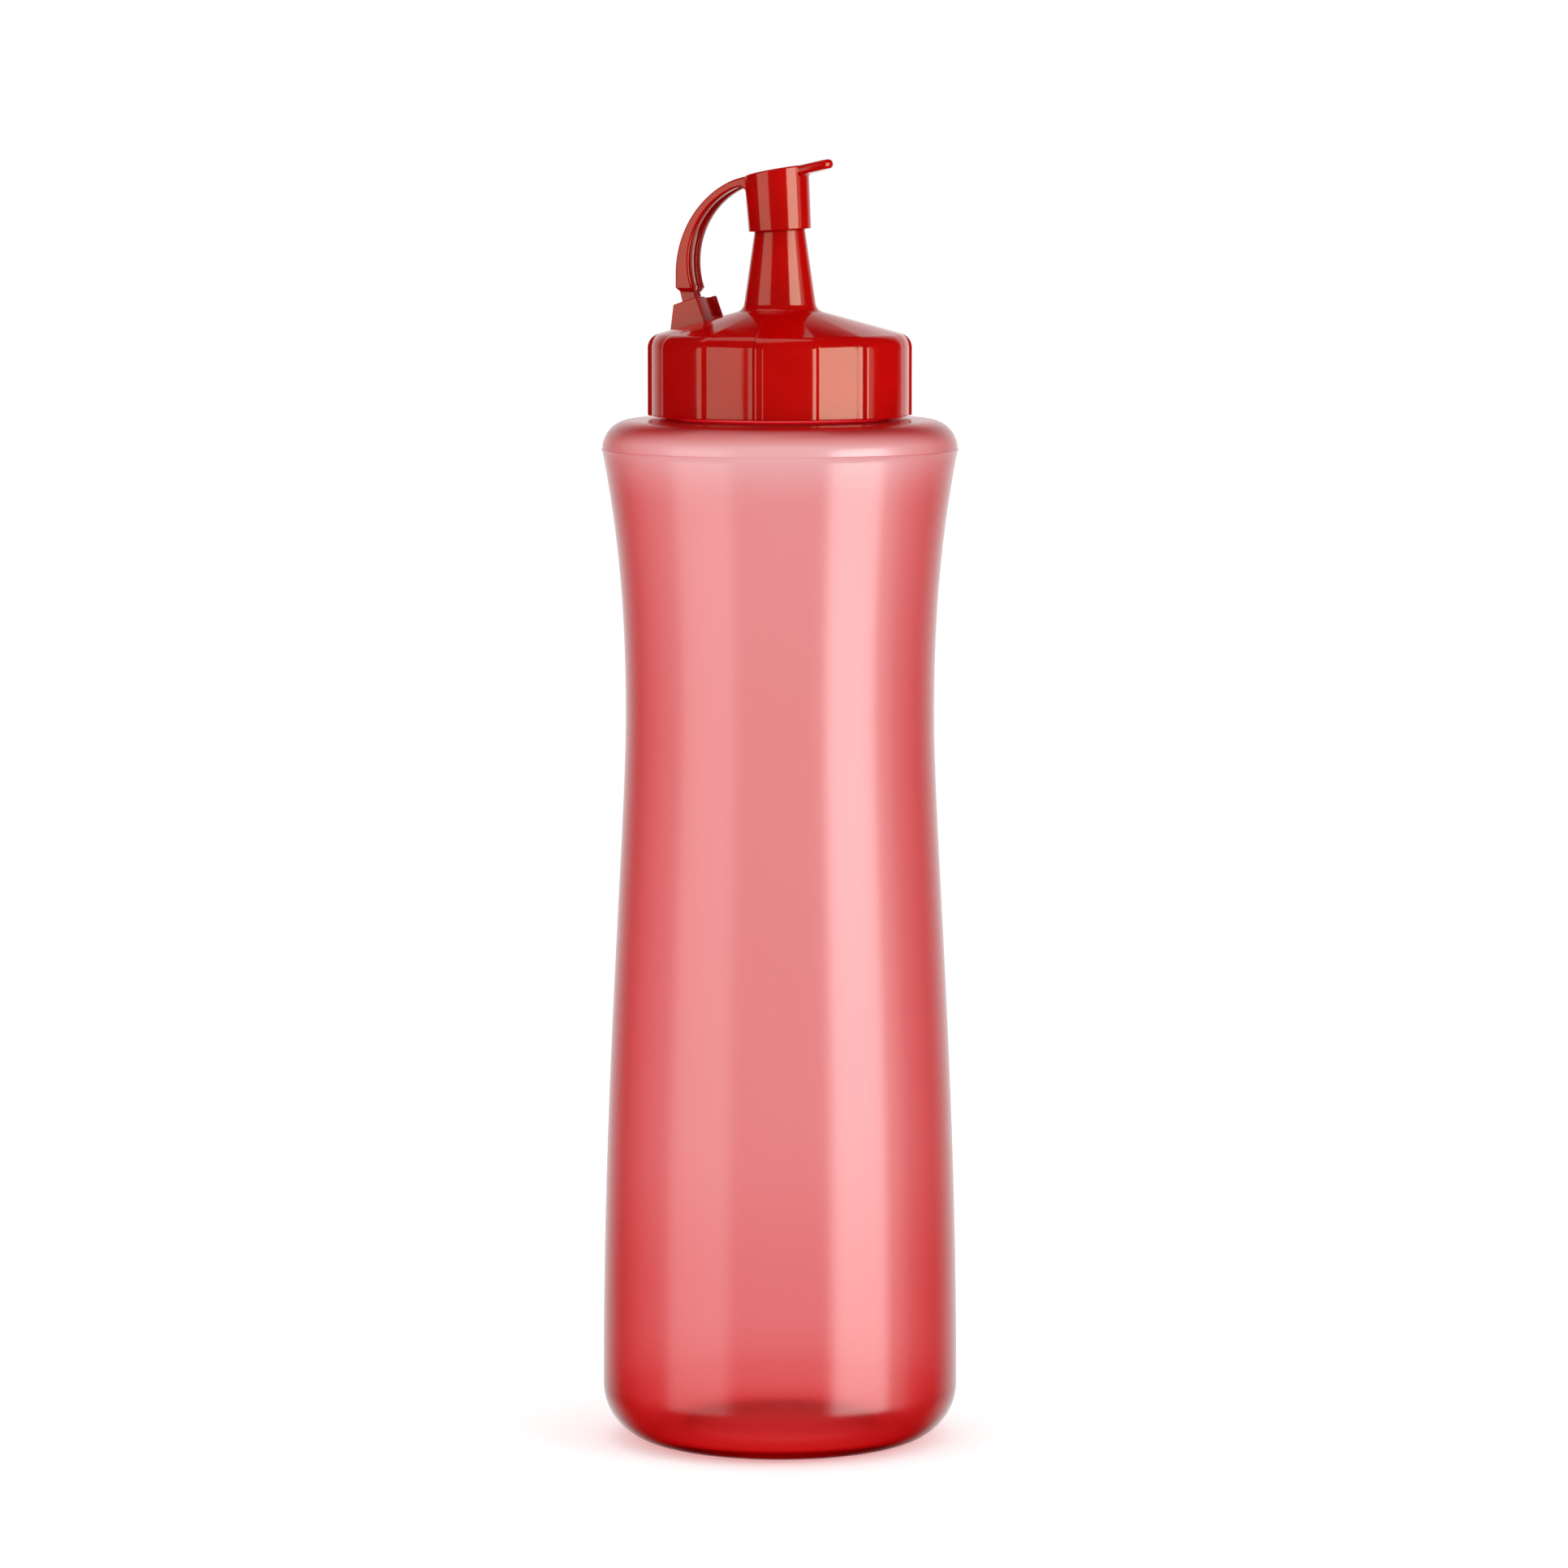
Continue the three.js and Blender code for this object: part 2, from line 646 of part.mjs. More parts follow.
const group = new THREE.Group();
group.add(pieceOf('bottle', bottle(), bottleFinish));
group.add(pieceOf('seal_ring', sealRing(), sealFinish));
group.add(pieceOf('closure', closure(), closureFinish));
group.add(pieceOf('strap_root', strapRoot(), closureFinish));
group.add(pieceOf('strap', strap(), closureFinish));
group.add(pieceOf('tip_cover', tipCover(), closureFinish));

export default group;
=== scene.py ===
# The looks of a squeeze bottle for sauce: frosted blown body, glossy screw closure, and a soft
# cover on a strap.
# Lengths are in millimetres, and become metres where a mesh or a light is made.
# The bottle's axis is Z. The strap lies towards -X, and the cover's thumb tab points to +X.
import math

import bpy
from mathutils import Matrix, Vector


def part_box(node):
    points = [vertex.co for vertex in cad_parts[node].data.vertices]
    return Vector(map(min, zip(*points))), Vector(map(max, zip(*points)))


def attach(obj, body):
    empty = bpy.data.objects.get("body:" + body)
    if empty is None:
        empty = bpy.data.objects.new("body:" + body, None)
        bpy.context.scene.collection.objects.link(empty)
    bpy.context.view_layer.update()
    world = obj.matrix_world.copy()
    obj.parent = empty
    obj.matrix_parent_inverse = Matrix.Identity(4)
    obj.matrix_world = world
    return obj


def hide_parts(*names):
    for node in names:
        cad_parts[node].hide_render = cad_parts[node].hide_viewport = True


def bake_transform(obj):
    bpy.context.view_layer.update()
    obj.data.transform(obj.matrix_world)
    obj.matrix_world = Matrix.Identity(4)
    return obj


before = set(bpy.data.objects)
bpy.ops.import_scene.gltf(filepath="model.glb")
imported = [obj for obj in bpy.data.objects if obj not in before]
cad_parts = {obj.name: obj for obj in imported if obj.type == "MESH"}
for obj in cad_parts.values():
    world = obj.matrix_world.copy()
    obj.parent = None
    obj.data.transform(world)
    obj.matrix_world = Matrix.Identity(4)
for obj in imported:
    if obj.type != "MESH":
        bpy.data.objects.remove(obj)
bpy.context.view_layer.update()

MM = 0.001


def node_box(node):
    """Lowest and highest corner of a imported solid, in millimetres."""
    low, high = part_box(node)
    return Vector(low) / MM, Vector(high) / MM


bottle_high = node_box("bottle")[1]
closure_low, closure_high = node_box("closure")
seal_low, seal_high = node_box("seal_ring")
strap_low, strap_high = node_box("strap")
root_low, root_high = node_box("strap_root")

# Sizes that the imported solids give
BASE_RADIUS = bottle_high.x
LIP_TOP = bottle_high.z
SKIRT_BOTTOM = closure_low.z
SPOUT_TIP = closure_high.z
SEAL_OUTER = seal_high.x
STRAP_FOOT = strap_low.z
STRAP_WIDTH = strap_high.y - strap_low.y
ROOT_WIDTH = root_high.y - root_low.y

# Bottle body
BASE_CORNER = 12.6
REST_RING = 6  # width of the flat ring that the bottle stands on
PUSH_UP = 3.5
WAIST_RADIUS = 34.9
WAIST_HEIGHT = 166
SHOULDER_RADIUS = 40.1
SHOULDER_CORNER = 6.7
SKIRT_GAP = 0.9  # between the shoulder and the closure's skirt
SHOULDER_TOP = SKIRT_BOTTOM - SKIRT_GAP
PARTING = SHOULDER_TOP - SHOULDER_CORNER
PARTING_WIDTH = 0.4
PARTING_RISE = 0.17
BASE_FULLNESS = 70  # how far up the side keeps close to the base's width
LOWER_EASE = 27  # how long the waist holds its width, below and above its middle
UPPER_EASE = 17
SHOULDER_EASE = 23.5
SHOULDER_FLARE = math.radians(11)  # how far the side leans out at the parting line
THINNING = 13.5  # length under the parting line where the wall thins
WALL_PLACES = (  # (height, thickness)
    (0, 2.6),
    (8, 2.8),
    (16, 1.85),
    (30, 1.8),
    (70, 1.5),
    (150, 1.42),
    (PARTING - THINNING, 1.3),
    (PARTING, 0.78),
)
SHEEN_FADE = (0.5, 6)  # heights between which the outer skin's sheen comes in
BOTTLE_COLUMNS = 216

# Bottle neck and the threads
NECK_RADIUS = 25
NECK_WALL = 1.7
SHOULDER_RISE = 0.3  # from the round shoulder's top to the neck
NECK_FOOT = SHOULDER_TOP + SHOULDER_RISE
NECK_FILLET = 1
LIP_ROUND = 0.5
THREAD_PITCH = 5
THREAD_TURNS = 1.5
THREAD_HEIGHT = 1.6
THREAD_ROOT = 2.1
THREAD_CREST = 0.9
THREAD_RUN_OUT = 0.06  # turns
THREAD_LIFT = 4.8
THREAD_START = NECK_FOOT + THREAD_LIFT
THREAD_RINGS = 48  # rings of points over the threaded height

# Seal ring
SEAL_WIDTH = 4.1
SEAL_EDGE = 0.2
SEAL_INNER = SEAL_OUTER - SEAL_WIDTH
SEAL_GAP = 0.3

# Closure
SKIRT_INSIDE = SEAL_OUTER + SEAL_GAP
SKIRT_WALL = 1.8
PANEL_DEPTH = 0.7
SKIRT_RADIUS = SKIRT_INSIDE + SKIRT_WALL + PANEL_DEPTH
SKIRT_CORNER = 3.4
SKIRT_EDGE = 0.35
MOUTH_CHAMFER = 0.5
SEAL_LAND = seal_high.z + SEAL_GAP
SKIRT_CORNER_DROP = 0.5
SKIRT_CORNER_HEIGHT = SEAL_LAND - SKIRT_CORNER_DROP
CONE_ANGLE = math.radians(15.4)
ROOF = 1.9
PANELS = 7
PANEL_FLOOR = 20.8  # degrees
PANEL_EDGE = 2.7  # degrees
PANEL_PHASE = 180 - 11.1  # degrees from +X to the middle of a panel
MOULD_LINES = (-72.2, 107.8)  # degrees from +X
MOULD_LINE_HALF = 0.35  # degrees
MOULD_LINE_RISE = 0.07

# Spout
TIP_RADIUS = 4.6
SPOUT_SLOPE = math.tan(math.radians(8.1))
SPOUT_FILLET = 2.3
SPOUT_WALL = 1.7
HOLE_RADIUS = 2
HOLE_LENGTH = 1.4
BORE_FLARE = 2.3
TIP_ROUND = 0.45

# Hinge block
BLOCK_INSET = 2.3  # from the cone's edge
BLOCK_BASE = 8.75
BLOCK_HEIGHT = 5.2
BLOCK_OUTER_LEAN = 2.2
BLOCK_INNER_LEAN = 0.5
BLOCK_INNER_RISE = 0.3
BLOCK_SIDES = (-5.1, 5.7)
BLOCK_EDGE = 0.3
RECESS_SIDES = (-0.5, 4.3)
RECESS_DEPTH = 1
RECESS_FLOOR = 0.6
BURIED = 0.8
SOCKET_FLOOR = 0.9
ROOT_INSET = 0.6
ROOT_THICKNESS = 3.6
ROOT_GAP = 0.12
ROOT_LIFT = 0.1  # of the tongue above the socket's floor
ROOT_OVERLAP = 0.3  # of the tongue into the strap's foot
ROOT_EDGE = 0.2

# Strap
FOOT_THICKNESS = 3.35
FOOT_CHAMFER = 0.95
OUTER_STRAIGHT = 4.1
INNER_TURN = 6.8
END_THICKNESS = 2
STRAP_STAND_OUT = 0.25
STRAP_EDGE = 0.45
RIB_CREST = 0.6
GROOVE_WIDTH = 1.7
GROOVE_DEPTH = 0.95
GROOVE_CORNER = 0.25
STRAP_FILLET = 1.1
STRAP_SUNK = 0.35  # into the cover
STRAP_PROUD = 0.05  # above the cover's top plate
FOOT_SHARE = 0.12  # of the strap's steps, on its straight foot
WRAP_FROM = 0.9  # of the strap's steps, where its end starts to wrap onto the cover

# Tip cover and its thumb tab
COVER_OVERLAP = 7.8
COVER_LENGTH = 13.4
COVER_TILT = math.radians(3.7)
COVER_SLANT = math.radians(10.7)
COVER_LOOSENESS = 0.39
COVER_WALL = 0.95
COVER_FLARE = 0.25
COVER_BORE_TAPER = 0.4
COVER_ROOF = 1.3
COVER_EDGE = 0.45
COVER_DOME = 0.2
BOSS_RADIUS = 3.2
BOSS_GAP = 0.3  # to the spout's tip
MOUTH_EDGE = 0.25
PLUG_RADIUS = 1.5
PLUG_TIP = 0.7
PLUG_DEPTH = 0.8
TAB_LENGTH = 6.37
TAB_ROOT_HALF = 3.1
TAB_TIP = 2.3
TAB_TIP_SPREAD = 80  # degrees of the rounded tip to each side
TAB_THICKNESS = 2.1
TAB_SLANT = math.radians(12.7)
TAB_EDGE = 0.9
TAB_FILLET = (0.6, 0.9)  # out, down
TAB_FILLET_SHORT = 0.5  # how much narrower than the tab it is on each side
TAB_FILLET_BURIED = (-0.6, -0.4)  # into the cover, into the tab
TAB_FILLET_FOOT = -0.1

# Places worked out from the sizes
THREAD_BOTTOM = THREAD_START - THREAD_PITCH / 2
CONE_SLOPE = math.tan(CONE_ANGLE)
CONE_EDGE_RADIUS = SKIRT_RADIUS - SKIRT_CORNER + SKIRT_CORNER * math.sin(CONE_ANGLE)
CONE_EDGE_HEIGHT = SKIRT_CORNER_HEIGHT + SKIRT_CORNER * math.cos(CONE_ANGLE)
CONE_APEX = CONE_EDGE_HEIGHT + CONE_EDGE_RADIUS * CONE_SLOPE
BLOCK_REACH = CONE_EDGE_RADIUS - BLOCK_INSET
COVER_MOUTH = SPOUT_TIP - COVER_OVERLAP
COVER_BORE = TIP_RADIUS + COVER_OVERLAP * SPOUT_SLOPE + COVER_LOOSENESS
COVER_RADIUS = COVER_BORE + COVER_WALL
COVER_TOP_RADIUS = COVER_RADIUS + COVER_FLARE
COVER_TOP_X = -COVER_LENGTH * math.sin(COVER_TILT)
COVER_TOP_Z = COVER_MOUTH + COVER_LENGTH * math.cos(COVER_TILT)
STRAP_END = COVER_TOP_X - COVER_TOP_RADIUS


def cone_height(radius):
    return CONE_APEX - radius * CONE_SLOPE


def plate_height(x):
    """Height of the cover's top plate above a place on the X axis."""
    return COVER_TOP_Z + (x - COVER_TOP_X) * math.tan(COVER_SLANT)


def on_block(along, up):
    """A place on the hinge block: along the cone towards the axis, and square off the cone."""
    x = -BLOCK_REACH + along * math.cos(CONE_ANGLE) - up * math.sin(CONE_ANGLE)
    z = cone_height(BLOCK_REACH) + along * math.sin(CONE_ANGLE) + up * math.cos(CONE_ANGLE)
    return x, z


# Outlines: lists of (across, height)
def arc(centre, radius, start, end, steps):
    """Points on an arc, from one angle to another in degrees."""
    turns = [math.radians(start + (end - start) * i / steps) for i in range(steps + 1)]
    return [(centre[0] + radius * math.cos(t), centre[1] + radius * math.sin(t)) for t in turns]


def bezier(corners, steps):
    """Points on a cubic curve with four corners."""
    made = []
    for i in range(steps + 1):
        t = i / steps
        weights = ((1 - t) ** 3, 3 * t * (1 - t) ** 2, 3 * t * t * (1 - t), t**3)
        made.append(tuple(sum(w * c[k] for w, c in zip(weights, corners)) for k in (0, 1)))
    return made


def wall_at(height):
    """The blown wall's thickness: thin in the shoulder, thick round the base."""
    thickness = WALL_PLACES[0][1]
    for (low, before), (high, after) in zip(WALL_PLACES, WALL_PLACES[1:]):
        thickness += (after - before) * ramp(height, low, high)
    return thickness


def inset(points):
    """The outline moved to its left by the wall's thickness."""
    made = []
    for i, here in enumerate(points):
        before, after = points[max(i - 1, 0)], points[min(i + 1, len(points) - 1)]
        along = (Vector(after) - Vector(before)).normalized()
        distance = wall_at(here[1])
        made.append((here[0] - along.y * distance, here[1] + along.x * distance))
    return made


def ramp(value, low, high):
    """0 below low, 1 above high, and an S curve between them."""
    share = min(max((value - low) / (high - low), 0), 1)
    return share * share * (3 - 2 * share)


# Meshes
def ring_faces(rings, closed=False):
    """Faces between rings of point numbers. A ring of one point is a pole."""
    faces = []
    pairs = list(zip(rings, rings[1:]))
    if closed:
        pairs.append((rings[-1], rings[0]))
    for lower, upper in pairs:
        count = max(len(lower), len(upper))
        for j in range(count):
            a, b = lower[j % len(lower)], lower[(j + 1) % len(lower)]
            c, d = upper[(j + 1) % len(upper)], upper[j % len(upper)]
            faces.append(list(dict.fromkeys((a, b, c, d))))
    return faces


def turned(outline, columns, place, closed=False):
    """A round form about Z. columns are in degrees, and place(angle, spot) gives x, y and z."""
    points, rings = [], []
    for spot in outline:
        ring_columns = columns if spot[0] > 0 else columns[:1]
        rings.append(range(len(points), len(points) + len(ring_columns)))
        points += [place(math.radians(column), spot) for column in ring_columns]
    return points, ring_faces(rings, closed)


def round_place(angle, spot):
    return spot[0] * math.cos(angle), spot[0] * math.sin(angle), spot[1]


def even_columns(count):
    return [360 * i / count for i in range(count)]


def lofted(sections):
    """A closed skin through sections, which are rings of points, with flat ends."""
    count = len(sections[0])
    points = [point for section in sections for point in section]
    rings = [range(i * count, (i + 1) * count) for i in range(len(sections))]
    faces = ring_faces(rings)
    faces += [list(reversed(rings[0])), list(rings[-1])]
    return points, faces


def slab(outline, sides):
    """A flat plate in the XZ plane, between two places on the Y axis."""
    return lofted([[(x, y, z) for x, z in outline] for y in (sides[1], sides[0])])


def mesh_object(name, shape, finish=None, sharp=35):
    """An object from (points, faces), smooth except at edges sharper than an angle in degrees."""
    mesh = bpy.data.meshes.new(name)
    points, faces = shape
    mesh.from_pydata([[c * MM for c in point] for point in points], [], faces)
    mesh.validate()
    mesh.shade_smooth()
    mesh.set_sharp_from_angle(angle=math.radians(sharp))
    if finish:
        mesh.materials.append(finish)
    made = bpy.data.objects.new(name, mesh)
    bpy.context.scene.collection.objects.link(made)
    return made


def applied(made):
    """The object with its modifiers worked into its mesh."""
    bpy.context.view_layer.update()
    seen = made.evaluated_get(bpy.context.evaluated_depsgraph_get())
    mesh = bpy.data.meshes.new_from_object(seen)
    made.modifiers.clear()
    made.data = mesh
    return made


def bevelled(made, width, segments=4, sharp=30):
    """Rounds the object's sharp edges."""
    bevel = made.modifiers.new("rounding", "BEVEL")
    bevel.width = width * MM
    bevel.segments = segments
    bevel.limit_method = "ANGLE"
    bevel.angle_limit = math.radians(sharp)
    bevel.harden_normals = False
    return applied(made)


def cut(made, cutter):
    """Takes the cutter's shape out of the object, and removes the cutter."""
    boolean = made.modifiers.new("cut", "BOOLEAN")
    boolean.operation = "DIFFERENCE"
    boolean.solver = "EXACT"
    boolean.object = cutter
    applied(made)
    bpy.data.objects.remove(cutter)
    return made


# Materials
PIGMENT = (0.963, 0.6, 0.61)
PIGMENT_DENSITY = 1150  # per metre of plastic
# painted light: a band of shade and of the closure's red light on the shoulder, under the skirt
PAINTED_SKIRT_SHADE = (  # (height above the shoulder's top, shade)
    (-4.6, "#ffffff"),
    (-3.3, "#f2dcdc"),
    (-2.4, "#e8bcbc"),
    (-1.5, "#d88484"),
    (-0.9, "#e05858"),
    (-0.6, "#f00c20"),
    (0.3, "#f00c20"),
    (0.6, "#ffffff"),
)


def linear(hex_colour):
    """An sRGB hex colour as linear red, green and blue."""
    values = [int(hex_colour[i : i + 2], 16) / 255 for i in (1, 3, 5)]
    return [v / 12.92 if v <= 0.04045 else ((v + 0.055) / 1.055) ** 2.4 for v in values]


def paint(hex_colour):
    return (*linear(hex_colour), 1)


def add_node(tree, kind, settings=None, links=None):
    """Adds a node. settings holds socket values and properties; links maps sockets to sources."""
    node = tree.nodes.new(kind)
    for key, value in (settings or {}).items():
        if isinstance(key, str) and hasattr(node, key):
            setattr(node, key, value)
        else:
            node.inputs[key].default_value = value
    for key, source in (links or {}).items():
        tree.links.new(source, node.inputs[key])
    return node


def new_material(name):
    finish = bpy.data.materials.new(name)
    finish.use_nodes = True
    finish.node_tree.nodes.clear()
    return finish, finish.node_tree


def moulded_polypropylene():
    """Injection-moulded polypropylene: a polished tool gives a clean, slightly uneven gloss."""
    finish, tree = new_material("moulded_polypropylene")
    place = add_node(tree, "ShaderNodeTexCoord").outputs["Object"]
    # flow of the melt, about 9 mm across, shifts the shade slightly
    flow = add_node(
        tree, "ShaderNodeTexNoise", {"Scale": 1 / (9 * MM), "Detail": 2}, {"Vector": place}
    )
    # polish marks, about 0.6 mm
    polish = add_node(
        tree, "ShaderNodeTexNoise", {"Scale": 1 / (0.6 * MM), "Detail": 3}, {"Vector": place}
    )
    shade = add_node(tree, "ShaderNodeValToRGB", links={"Fac": flow.outputs["Fac"]})
    shade.color_ramp.elements[0].position = 0.3
    shade.color_ramp.elements[0].color = paint("#a80000")
    shade.color_ramp.elements[1].position = 0.7
    shade.color_ramp.elements[1].color = paint("#b30101")
    rough = add_node(
        tree,
        "ShaderNodeMapRange",
        {"From Min": 0.3, "From Max": 0.7, "To Min": 0.09, "To Max": 0.14},
        {"Value": polish.outputs["Fac"]},
    )
    # sink marks and waviness of the moulded skin, a few hundredths of a millimetre over 5 mm
    wave = add_node(
        tree, "ShaderNodeTexNoise", {"Scale": 1 / (5 * MM), "Detail": 1}, {"Vector": place}
    )
    bump = add_node(
        tree,
        "ShaderNodeBump",
        {"Strength": 1, "Distance": 0.02 * MM},
        {"Height": wave.outputs["Fac"]},
    )
    shader = add_node(
        tree,
        "ShaderNodeBsdfPrincipled",
        {"IOR": 1.49, "Specular IOR Level": 1, "Specular Tint": (0.95, 0.95, 0.7, 1)},
        {
            "Base Color": shade.outputs["Color"],
            "Roughness": rough.outputs["Result"],
            "Normal": bump.outputs["Normal"],
        },
    )
    add_node(tree, "ShaderNodeOutputMaterial", links={"Surface": shader.outputs["BSDF"]})
    return finish


def frosted_polyethylene():
    """Blow-moulded low-density polyethylene from a blasted mould: milky, with a soft sheen.

    It lets light through. The milky bulk scatters light so much that it hardly seems to bend it, so
    it has a low index here, and a coat with a high index gives the outer skin its sheen.
    """
    finish, tree = new_material("frosted_polyethylene")
    place = add_node(tree, "ShaderNodeTexCoord").outputs["Object"]
    # blasted grain, really about 0.1 mm, drawn at 0.4 mm so that it shows
    grain = add_node(
        tree, "ShaderNodeTexNoise", {"Scale": 1 / (0.4 * MM), "Detail": 2}, {"Vector": place}
    )
    rough = add_node(
        tree,
        "ShaderNodeMapRange",
        {"From Min": 0.3, "From Max": 0.7, "To Min": 0.28, "To Max": 0.34},
        {"Value": grain.outputs["Fac"]},
    )
    bump = add_node(
        tree,
        "ShaderNodeBump",
        {"Strength": 0.5, "Distance": 0.01 * MM},
        {"Height": grain.outputs["Fac"]},
    )
    # painted shade and red light from the closure: a deep red band on the shoulder where it runs
    # into the neck, under the skirt
    height = add_node(tree, "ShaderNodeSeparateXYZ", links={0: place}).outputs["Z"]
    low, high = (SHOULDER_TOP + PAINTED_SKIRT_SHADE[i][0] for i in (0, -1))
    up = add_node(
        tree,
        "ShaderNodeMapRange",
        {"From Min": low * MM, "From Max": high * MM},
        {"Value": height},
    )
    skirt_shade = add_node(tree, "ShaderNodeValToRGB", links={"Fac": up.outputs["Result"]})
    stops = skirt_shade.color_ramp.elements
    while len(stops) < len(PAINTED_SKIRT_SHADE):
        stops.new(0.5)
    for stop, (level, shade) in zip(stops, PAINTED_SKIRT_SHADE):
        stop.position = (SHOULDER_TOP + level - low) / (high - low)
        stop.color = paint(shade)
    # only the outer skin has the sheen, only from outside, and it fades out under the base
    back = add_node(tree, "ShaderNodeNewGeometry").outputs["Backfacing"]
    front = add_node(tree, "ShaderNodeMath", {"operation": "SUBTRACT", 0: 1}, {1: back})
    skin = add_node(tree, "ShaderNodeAttribute", {"attribute_name": "skin"}).outputs["Fac"]
    sheen = add_node(
        tree, "ShaderNodeMath", {"operation": "MULTIPLY"}, {0: front.outputs[0], 1: skin}
    )
    shader = add_node(
        tree,
        "ShaderNodeBsdfPrincipled",
        {"IOR": 1.1, "Transmission Weight": 1, "Coat Roughness": 0.24, "Coat IOR": 1.9},
        {
            "Base Color": skirt_shade.outputs["Color"],
            "Roughness": rough.outputs["Result"],
            "Normal": bump.outputs["Normal"],
            "Coat Weight": sheen.outputs[0],
        },
    )
    # the pigment colours light by the depth of wall that it crosses
    pigment = add_node(
        tree, "ShaderNodeVolumeAbsorption", {"Color": (*PIGMENT, 1), "Density": PIGMENT_DENSITY}
    )
    add_node(
        tree,
        "ShaderNodeOutputMaterial",
        links={"Surface": shader.outputs["BSDF"], "Volume": pigment.outputs[0]},
    )
    return finish


def foamed_liner():
    """Expanded polyethylene liner: closed cells under a skin give a soft, slightly pitted white."""
    finish, tree = new_material("foamed_liner")
    place = add_node(tree, "ShaderNodeTexCoord").outputs["Object"]
    # cells about 0.25 mm across
    cells = add_node(tree, "ShaderNodeTexVoronoi", {"Scale": 1 / (0.25 * MM)}, {"Vector": place})
    shade = add_node(tree, "ShaderNodeValToRGB", links={"Fac": cells.outputs["Distance"]})
    shade.color_ramp.elements[0].color = paint("#f2efe8")
    shade.color_ramp.elements[1].color = paint("#dedad0")
    bump = add_node(
        tree,
        "ShaderNodeBump",
        {"Strength": 0.6, "Distance": 0.03 * MM},
        {"Height": cells.outputs["Distance"]},
    )
    shader = add_node(
        tree,
        "ShaderNodeBsdfPrincipled",
        {"Roughness": 0.62, "IOR": 1.5},
        {"Base Color": shade.outputs["Color"], "Normal": bump.outputs["Normal"]},
    )
    add_node(tree, "ShaderNodeOutputMaterial", links={"Surface": shader.outputs["BSDF"]})
    return finish


cap_finish = moulded_polypropylene()
bottle_finish = frosted_polyethylene()
liner_finish = foamed_liner()


# Bottle
def thread_rise(angle, height, first_height):
    """How far the right-handed thread stands out at a place on the wall. Its ends run out."""
    turn = (angle / (2 * math.pi)) % 1
    rise = 0
    while turn <= THREAD_TURNS:
        off = abs(height - first_height - THREAD_PITCH * turn)
        ends = min(turn, THREAD_TURNS - turn) / THREAD_RUN_OUT
        profile = 1 - ramp(off, THREAD_CREST / 2, THREAD_ROOT / 2)
        rise = max(rise, THREAD_HEIGHT * profile * min(max(ends, 0), 1))
        turn += 1
    return rise


def bottle_side(corner_steps, side_steps):
    """The outside from the resting ring up to the shoulder's top."""
    lower = [
        (BASE_RADIUS, BASE_CORNER),
        (BASE_RADIUS, BASE_CORNER + BASE_FULLNESS),
        (WAIST_RADIUS, WAIST_HEIGHT - LOWER_EASE),
        (WAIST_RADIUS, WAIST_HEIGHT),
    ]
    lean = (
        SHOULDER_RADIUS - SHOULDER_EASE * math.sin(SHOULDER_FLARE),
        PARTING - SHOULDER_EASE * math.cos(SHOULDER_FLARE),
    )
    upper = [
        (WAIST_RADIUS, WAIST_HEIGHT),
        (WAIST_RADIUS, WAIST_HEIGHT + UPPER_EASE),
        lean,
        (SHOULDER_RADIUS, PARTING),
    ]
    base = (BASE_RADIUS - BASE_CORNER, BASE_CORNER)
    shoulder = (SHOULDER_RADIUS - SHOULDER_CORNER, PARTING)
    return [
        *arc(base, BASE_CORNER, -90, 0, corner_steps),
        *bezier(lower, side_steps)[1:],
        *bezier(upper, side_steps)[1:],
        *arc(shoulder, SHOULDER_CORNER, 0, 90, corner_steps)[1:],
    ]


def with_parting_line(points):
    """Adds the faint ridge where the mould's parts met, under the shoulder."""
    at = points.index((SHOULDER_RADIUS, PARTING))
    slope = math.tan(SHOULDER_FLARE)
    ridge = [
        (SHOULDER_RADIUS - PARTING_WIDTH * slope, PARTING - PARTING_WIDTH),
        (SHOULDER_RADIUS + PARTING_RISE, PARTING),
        (SHOULDER_RADIUS, PARTING + PARTING_WIDTH / 2),
    ]
    return points[:at] + ridge + points[at + 1 :]


def make_bottle():
    rim = BASE_RADIUS - BASE_CORNER - REST_RING
    dome = [(0, PUSH_UP), (rim / 2, PUSH_UP), (rim - PUSH_UP, PUSH_UP / 2), (rim, 0)]
    neck_low, neck_high = NECK_FOOT + NECK_FILLET, LIP_TOP - LIP_ROUND
    neck = [
        (NECK_RADIUS, neck_low + (neck_high - neck_low) * i / THREAD_RINGS)
        for i in range(THREAD_RINGS)
    ]
    fillet = (NECK_RADIUS + NECK_FILLET, NECK_FOOT + NECK_FILLET)
    bore = NECK_RADIUS - NECK_WALL
    foot_wall = wall_at(SHOULDER_TOP)
    outside = [
        *bezier(dome, 14),
        *with_parting_line(bottle_side(24, 44)),
        *arc(fillet, NECK_FILLET, 270, 180, 6)[:-1],
        *neck,
        *arc((NECK_RADIUS - LIP_ROUND, neck_high), LIP_ROUND, 0, 90, 5),
    ]
    inside = [
        *arc((bore + LIP_ROUND, neck_high), LIP_ROUND, 90, 180, 5),
        *arc((bore + foot_wall, SHOULDER_TOP), foot_wall, 180, 270, 6),
        *reversed(inset(bottle_side(24, 30))[1:]),
        *reversed(inset(bezier(dome, 10))[1:-1]),
        (0, PUSH_UP + wall_at(0)),
    ]

    def place(angle, spot):
        radius, height = spot
        if radius == NECK_RADIUS:
            radius += thread_rise(angle, height, THREAD_START)
        return round_place(angle, (radius, height))

    shape = turned(outside + inside, even_columns(BOTTLE_COLUMNS), place)
    made = mesh_object("bottle_shell", shape, bottle_finish)
    skin = made.data.attributes.new("skin", "FLOAT", "POINT")
    outer_points = 1 + (len(outside) - 1) * BOTTLE_COLUMNS
    sheen = [
        ramp(point.co.z / MM, *SHEEN_FADE) if i < outer_points else 0
        for i, point in enumerate(made.data.vertices)
    ]
    skin.data.foreach_set("value", sheen)
    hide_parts("bottle")
    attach(made, "bottle_body")


make_bottle()


